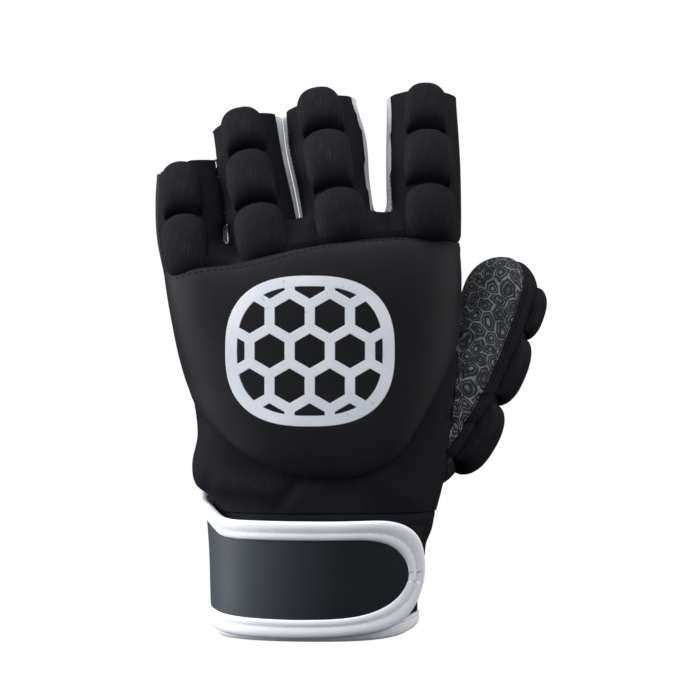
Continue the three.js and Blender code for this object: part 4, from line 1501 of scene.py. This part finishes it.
def back_cover():
    """The smooth cover of the back pad, with its printed badge."""
    nodes = Nodes("back_cover")
    cloth = knit(nodes)
    patches = nodes.cloud(40, detail=3)
    flat = [
        nodes.math("SUBTRACT", nodes.math("DIVIDE", nodes.place(axis), MM), centre)
        for axis, centre in zip("XZ", BADGE_CENTRE)]
    powers = [
        nodes.math("POWER", nodes.math("ABSOLUTE", nodes.math("DIVIDE", value, half)), BADGE_SQUARENESS)
        for value, half in zip(flat, BADGE_HALF)]
    reach = nodes.math("POWER", nodes.math("ADD", *powers), 1 / BADGE_SQUARENESS)
    cells = [nodes.math("DIVIDE", value, BADGE_CELL) for value in flat]
    to_side = hexagons(nodes, nodes.add("CombineXYZ", {0: cells[0], 1: cells[1]}))
    line, edge = BADGE_BLUR["line"], BADGE_BLUR["border"]
    net = nodes.fading(to_side, BADGE_LINE - line, BADGE_LINE + line)
    border = nodes.between(reach, BADGE_BORDER - edge, BADGE_BORDER + edge)
    inside = nodes.fading(reach, 1 - edge, 1 + edge)
    front = nodes.fading(nodes.place("Y"), -0.004, -0.001)
    wear = nodes.cloud(420, detail=4, roughness=0.7)
    ink = nodes.product(nodes.product(nodes.math("MAXIMUM", net, border), inside), front)
    shown = nodes.product(ink, nodes.between(wear, 0.2, 0.36))
    base = nodes.colour(nodes.between(patches, 0.3, 0.7), BLACK, BLACK_LIT)
    tint = nodes.colour(nodes.between(patches, 0.35, 0.65), WHITE_INK, (0.62, 0.65, 0.72))
    colour = nodes.colour(shown, base, tint)
    roughness = nodes.colour(ink, (0.62, 0.62, 0.62), (0.5, 0.5, 0.5))
    normal = nodes.bump(ink, 0.00025, 0.6, nodes.bump(cloth, 0.00014, 0.45))
    return nodes.finish(colour, roughness, normal, Specular_IOR_Level=0.17, Sheen_Weight=0.012)


# The size of the print's hexagons in millimetres, and the fades in metres to where the cloth is
# bare: beside the thumb's root, and on the little finger's side where it doesn't face the palm
GRIP_CELL = 5.8
ROOT_X = (0.036, 0.04)
ROOT_Z = (0.0665, 0.0685)
LITTLE_X = (-0.034, -0.03)
PALM_FACING = (0.3, 0.5)


def grip_cloth():
    """Stretch cloth with a raised grey grip print: a net of hexagons with a dot in each."""
    nodes = Nodes("grip_cloth")
    weave = nodes.weave((2.2, 2.2, 1), detail=3.0, roughness=0.7)
    pull = nodes.add("TexNoise", {"Vector": nodes.flat, "Scale": 0.1, "Detail": 0.6}, output="Color")
    wander = nodes.vector("MULTIPLY", nodes.vector("SUBTRACT", pull, (0.5, 0.5, 0.5)), (7, 10, 0))
    bent = nodes.vector("ADD", nodes.flat, wander)
    inside = hexagons(nodes, nodes.vector("DIVIDE", bent, (GRIP_CELL, GRIP_CELL, 1)))
    outline = nodes.fading(inside, 0.04, 0.085)
    from_ring = nodes.math("ABSOLUTE", nodes.math("SUBTRACT", inside, 0.2))
    ring = nodes.product(nodes.fading(from_ring, 0.015, 0.045), 0.75)
    dot = nodes.between(inside, 0.34, 0.4)
    print_height = nodes.math("MAXIMUM", outline, nodes.math("MAXIMUM", ring, dot))
    wear = nodes.cloud(330, detail=4, roughness=0.7)
    beside_root = nodes.product(
        nodes.between(nodes.place("X"), *ROOT_X), nodes.fading(nodes.place("Z"), *ROOT_Z))
    off_palm = nodes.fading(nodes.part(nodes.normal, "Y"), *PALM_FACING)
    little_side = nodes.product(nodes.fading(nodes.place("X"), *LITTLE_X), off_palm)
    printed = nodes.math("SUBTRACT", 1, nodes.math("MAXIMUM", beside_root, little_side))
    ink = nodes.product(nodes.product(print_height, nodes.between(wear, 0.4, 0.58, 0.15, 1)), printed)
    ground = nodes.colour(nodes.between(weave, 0.3, 0.7), (0.005, 0.006, 0.008), (0.018, 0.02, 0.024))
    line = nodes.colour(nodes.between(weave, 0.3, 0.7), (0.1, 0.107, 0.115), (0.2, 0.21, 0.22))
    colour = nodes.colour(ink, ground, line)
    roughness = nodes.between(ink, 0, 1, 0.85, 0.6)
    normal = nodes.bump(print_height, 0.0003, 0.7, nodes.bump(weave, 0.0002, 0.5))
    return nodes.finish(colour, roughness, normal, Specular_IOR_Level=0.35)


def white_stretch():
    """Thin white stretch cloth with fine upright ribs, painted grey for the shade deep between the
    fingers.
    """
    nodes = Nodes("white_stretch")
    ribs = nodes.grain((1700, 1700, 180), detail=2.0)
    folds = nodes.grain((160, 160, 45), detail=2.0)
    share = nodes.blend(ribs, 0.5, folds, 0.5)
    # Painted shade: the cloth runs from grey to pale grey, darker than the white tape, for the shade
    # between the fingers, and the large fold noise paints patches of shade as well as bumping the folds
    colour = nodes.colour(nodes.between(share, 0.3, 0.75), (0.42, 0.44, 0.48), (0.66, 0.675, 0.72))
    normal = nodes.bump(ribs, 0.00016, 0.5, nodes.bump(folds, 0.0012, 0.5))
    return nodes.finish(colour, 0.82, normal, Specular_IOR_Level=0.3, Sheen_Weight=0.2)


def white_tape():
    """Folded polyester tape with a fine slanting weave."""
    nodes = Nodes("white_tape")
    slanting = nodes.scaled(nodes.flat, (1, 1, 1), math.radians(38))
    twill = nodes.add(
        "TexWave", {"Vector": slanting, "Scale": 0.42, "Distortion": 0.6, "Detail Scale": 3.0,
                    "Detail": 1.0}, output="Fac")
    fibre = nodes.weave((4, 9, 1), detail=2.0)
    soil = nodes.cloud(70, detail=4, roughness=0.6)
    share = nodes.blend(twill, 0.35, fibre, 0.65)
    colour = nodes.colour(nodes.between(share, 0.2, 0.8), (0.7, 0.72, 0.79), (0.84, 0.85, 0.9))
    colour = nodes.colour(nodes.between(soil, 0.55, 0.8, 0, 0.25), colour, (0.52, 0.54, 0.6))
    normal = nodes.bump(share, 0.00016, 0.5)
    return nodes.finish(colour, 0.68, normal, Specular_IOR_Level=0.4, Sheen_Weight=0.15)


def strap_rubber():
    """Smooth rubber-faced strap, with painted light: paler towards the little finger's side, as if lit
    from the left.
    """
    nodes = Nodes("strap_rubber")
    grain = nodes.cloud(2600, detail=2)
    cloud = nodes.cloud(24, detail=3)
    # Painted light: the colour goes from pale on the little finger's side (-X) to dark towards the thumb,
    # as the lamp at the left would light it
    side = nodes.between(nodes.place("X"), -0.036, 0.014)
    colour = nodes.colour(side, (0.05, 0.059, 0.07), (0.0085, 0.011, 0.015))
    colour = nodes.colour(nodes.between(cloud, 0.3, 0.7, 0, 0.12), colour, (0.015, 0.018, 0.022))
    roughness = nodes.between(cloud, 0.3, 0.7, 0.5, 0.6)
    normal = nodes.bump(grain, 0.00006, 0.35)
    return nodes.finish(colour, roughness, normal, Specular_IOR_Level=0.22)


def fastener_loop():
    """Fuzzy loops in rows, for the hooks of the strap."""
    nodes = Nodes("fastener_loop")
    fuzz = nodes.cloud(1900, detail=4, roughness=0.7)
    rows = nodes.grain((300, 300, 900), detail=2)
    share = nodes.blend(fuzz, 0.6, rows, 0.4)
    colour = nodes.colour(nodes.between(share, 0.35, 0.7), (0.004, 0.004, 0.005), (0.016, 0.016, 0.018))
    return nodes.finish(
        colour, 0.95, nodes.bump(share, 0.0008, 0.8), Specular_IOR_Level=0.15, Sheen_Weight=0.05)


def thread(name, dark, lit):
    """Twisted sewing thread between two shades."""
    nodes = Nodes(name)
    twist = nodes.grain((3200, 3200, 3200), detail=2.0, roughness=0.7)
    colour = nodes.colour(nodes.between(twist, 0.3, 0.7), dark, lit)
    return nodes.finish(colour, 0.75, nodes.bump(twist, 0.0001, 0.6), Specular_IOR_Level=0.15)


# The dark and the lit shade of each thread
BLACK_THREAD = ((0.002, 0.002, 0.003), (0.007, 0.007, 0.009))
WHITE_THREAD = ((0.56, 0.58, 0.64), (0.72, 0.74, 0.79))
LOOKS = {
    "neoprene": neoprene(),
    "pad_cover": pad_cover(),
    "back_cover": back_cover(),
    "grip_cloth": grip_cloth(),
    "white_stretch": white_stretch(),
    "white_tape": white_tape(),
    "strap_rubber": strap_rubber(),
    "fastener_loop": fastener_loop(),
    "black_thread": thread("black_thread", *BLACK_THREAD),
    "white_thread": thread("white_thread", *WHITE_THREAD),
}


# Flat maps of the panels' cloth, in millimetres, with the radius of the thumb and of the back of
# the hand, and the share of its depth that a place gains in height
THUMB_RADIUS = 14.5
HAND_RADIUS = 62
DEPTH_SHARE = 0.3


def map_panel(made):
    """Lays a panel's cloth flat: round the thumb and along it, or across the hand and up it."""
    points = points_of(made.data)
    if "thumb" in made.name:
        thumb = DIGITS["thumb"]
        share, angle, _ = digit_place(thumb, points)
        lay_flat(made, np.stack([angle * THUMB_RADIUS, share * thumb["length"]], -1))
        return
    across = np.arcsin(np.clip(points[:, 0] / HAND_RADIUS, -1, 1)) * HAND_RADIUS
    lay_flat(made, np.stack([across, points[:, 2] + points[:, 1] * DEPTH_SHARE], -1))


# The glove

def finish_piece(made, look, *nodes, slot=None):
    """Gives a piece its look and its solids. The slot argument is not used."""
    slot = slot or look
    made.data.materials.clear()
    made.data.materials.append(LOOKS[look])
    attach(made, BODY)
    if nodes:
        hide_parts(*nodes)
    return made


PANEL_LOOKS = {
    **dict.fromkeys(("finger_back_panel", "hand_back_panel", "thumb_back_panel"), "neoprene"),
    **dict.fromkeys(("finger_front_panel", "palm_panel", "thumb_panel"), "grip_cloth"),
    **dict.fromkeys(GUSSETS, "white_stretch"),
}


def build_panels():
    before = set(bpy.data.objects)
    panels = make_panels()
    for made in set(bpy.data.objects) - before - set(panels.values()):
        discard(made)
    for name, made in panels.items():
        made.name = "cloth_" + name
        soften(made)
        map_panel(made)
        finish_piece(made, PANEL_LOOKS[name], name)
    return list(panels.values())


def build_pads():
    pads = []
    for digit_name, rows in PADS.items():
        for number, row in enumerate(rows, 1):
            node = f"{digit_name}_pad_{number}"
            pad = dict(zip(PAD_COLUMNS, row))
            pads.append(digit_pad("cover_" + node, DIGITS[digit_name], pad))
            finish_piece(pads[-1], "pad_cover", node)
    pads.append(make_back_pad())
    finish_piece(pads[-1], "back_cover", "back_pad", slot="pad_cover")
    return pads[-1]


def sew_glove(cloth, binding, hem):
    """The visible stitches, on the search trees of the pieces that they hold."""
    edges = stitch_rows("gussets", gusset_edges(), cloth, across=True, slant=GUSSET_SLANT)
    edges += stitch_rows("finger_sides", finger_sides(), cloth)
    on_cloth = {
        "knuckle_seam": stitch_rows("knuckle_seam", [knuckle_line(cloth)], cloth),
        "back_pad": stitch_rows("back_pad", [pad_border()], cloth),
        "gussets": edges,
        "thumb": stitch_rows("thumb", thumb_edges(), cloth),
    }
    on_tape = {
        "binding": stitch_rows("binding", [strap_outline(*BINDING_CREASE)], binding),
        "hem": stitch_rows("hem", [hem_line()], hem),
    }
    for name, rows in on_cloth.items():
        finish_piece(stitching("thread_" + name, rows), "black_thread", slot="neoprene")
    for name, rows in on_tape.items():
        finish_piece(stitching("thread_" + name, rows), "white_thread", slot="white_tape")


def build_glove():
    panels = build_panels()
    back_pad = build_pads()
    finish_piece(make_cuff(), "neoprene", "cuff")
    hem = finish_piece(make_hem_tape(), "white_tape", "cuff_hem_tape")
    finish_piece(make_strap_panel(), "strap_rubber", "wrist_strap")
    binding = finish_piece(make_binding(), "white_tape", "strap_binding")
    finish_piece(make_fastener(), "fastener_loop", "fastener_loop")
    sew_glove(tree_of(*panels, back_pad), tree_of(binding), tree_of(hem))


build_glove()


# Floor and light

# The glove is held up over the floor, whose own light grows over these distances from the
# middle, so that it ends in white
FLOOR_HEIGHT = -0.12
STAGE_RADIUS = 0.8
FLOOR_FADE = (0.15, 0.55)


def make_floor():
    """A round floor whose rim shines as white as the surround."""
    angles = round_turn(64)[0]
    rim = np.stack([np.cos(angles), np.sin(angles), np.zeros(64)], -1) * STAGE_RADIUS
    rim[:, 2] = FLOOR_HEIGHT
    floor = new_object("floor", rim / MM, [tuple(range(64))], smooth=False)
    nodes = Nodes("floor")
    grain = nodes.cloud(60, detail=3)
    colour = nodes.colour(nodes.between(grain, 0.3, 0.7), (0.9, 0.9, 0.9), (0.93, 0.93, 0.93))
    away = nodes.vector("LENGTH", nodes.object, output="Value")
    glow = nodes.between(away, *FLOOR_FADE)
    floor.data.materials.append(nodes.finish(
        colour, 0.9, nodes.bump(grain, 0.0002, 0.1), Specular_IOR_Level=0.1,
        Emission_Color=(1, 1, 1, 1), Emission_Strength=glow))
    # The floor takes light but sends none back up to the glove
    floor.visible_diffuse = False
    floor.visible_glossy = False


# The lamps, all turned to one place in the glove: where each is, its size, power and colour
LIT_PLACE = (0, 0, 0.11)
LAMPS = {
    "top": ((-0.05, -0.35, 1.15), (0.9, 0.7), 9.2, (1, 1, 1)),
    "left": ((-1.2, -0.25, 0.4), (0.5, 1.1), 27.0, (0.97, 0.98, 1.0)),
    "right": ((1.15, -0.3, 0.35), (0.4, 1.0), 10.0, (1, 1, 1)),
    "front": ((-0.2, -1.5, 0.55), (0.9, 0.9), 2.0, (1, 1, 1)),
}


def area_light(name, place, size, watts, colour):
    data = bpy.data.lights.new(name, "AREA")
    data.shape = "RECTANGLE"
    data.size, data.size_y = size
    data.energy = watts
    data.color = colour
    light = show(name, data)
    light.location = place
    light.rotation_euler = (Vector(LIT_PLACE) - Vector(place)).to_track_quat("-Z", "Y").to_euler()


# The surround shows white, and lights the glove with these strengths from below and above
ROOM_LIGHT = (0.02, 0.3)


def light_scene():
    world = bpy.data.worlds.new("studio")
    world.use_nodes = True
    tree = world.node_tree
    add = lambda kind: tree.nodes.new("ShaderNode" + kind)
    background = tree.nodes["Background"]
    background.inputs["Color"].default_value = (1, 1, 1, 1)
    direction, parts, dome, seen, brighter = map(
        add, ("TexCoord", "SeparateXYZ", "MapRange", "LightPath", "Math"))
    for socket, value in zip(("From Min", "From Max", "To Min", "To Max"), (-0.3, 0.8, *ROOM_LIGHT)):
        dome.inputs[socket].default_value = value
    brighter.operation = "MAXIMUM"
    for start, end in (
            (direction.outputs["Generated"], parts.inputs[0]), (parts.outputs["Z"], dome.inputs["Value"]),
            (dome.outputs[0], brighter.inputs[0]), (seen.outputs["Is Camera Ray"], brighter.inputs[1]),
            (brighter.outputs[0], background.inputs["Strength"])):
        tree.links.new(start, end)
    bpy.context.scene.world = world
    bpy.context.scene.view_settings.view_transform = "Standard"
    for name, lamp in LAMPS.items():
        area_light(name, *lamp)


make_floor()
light_scene()
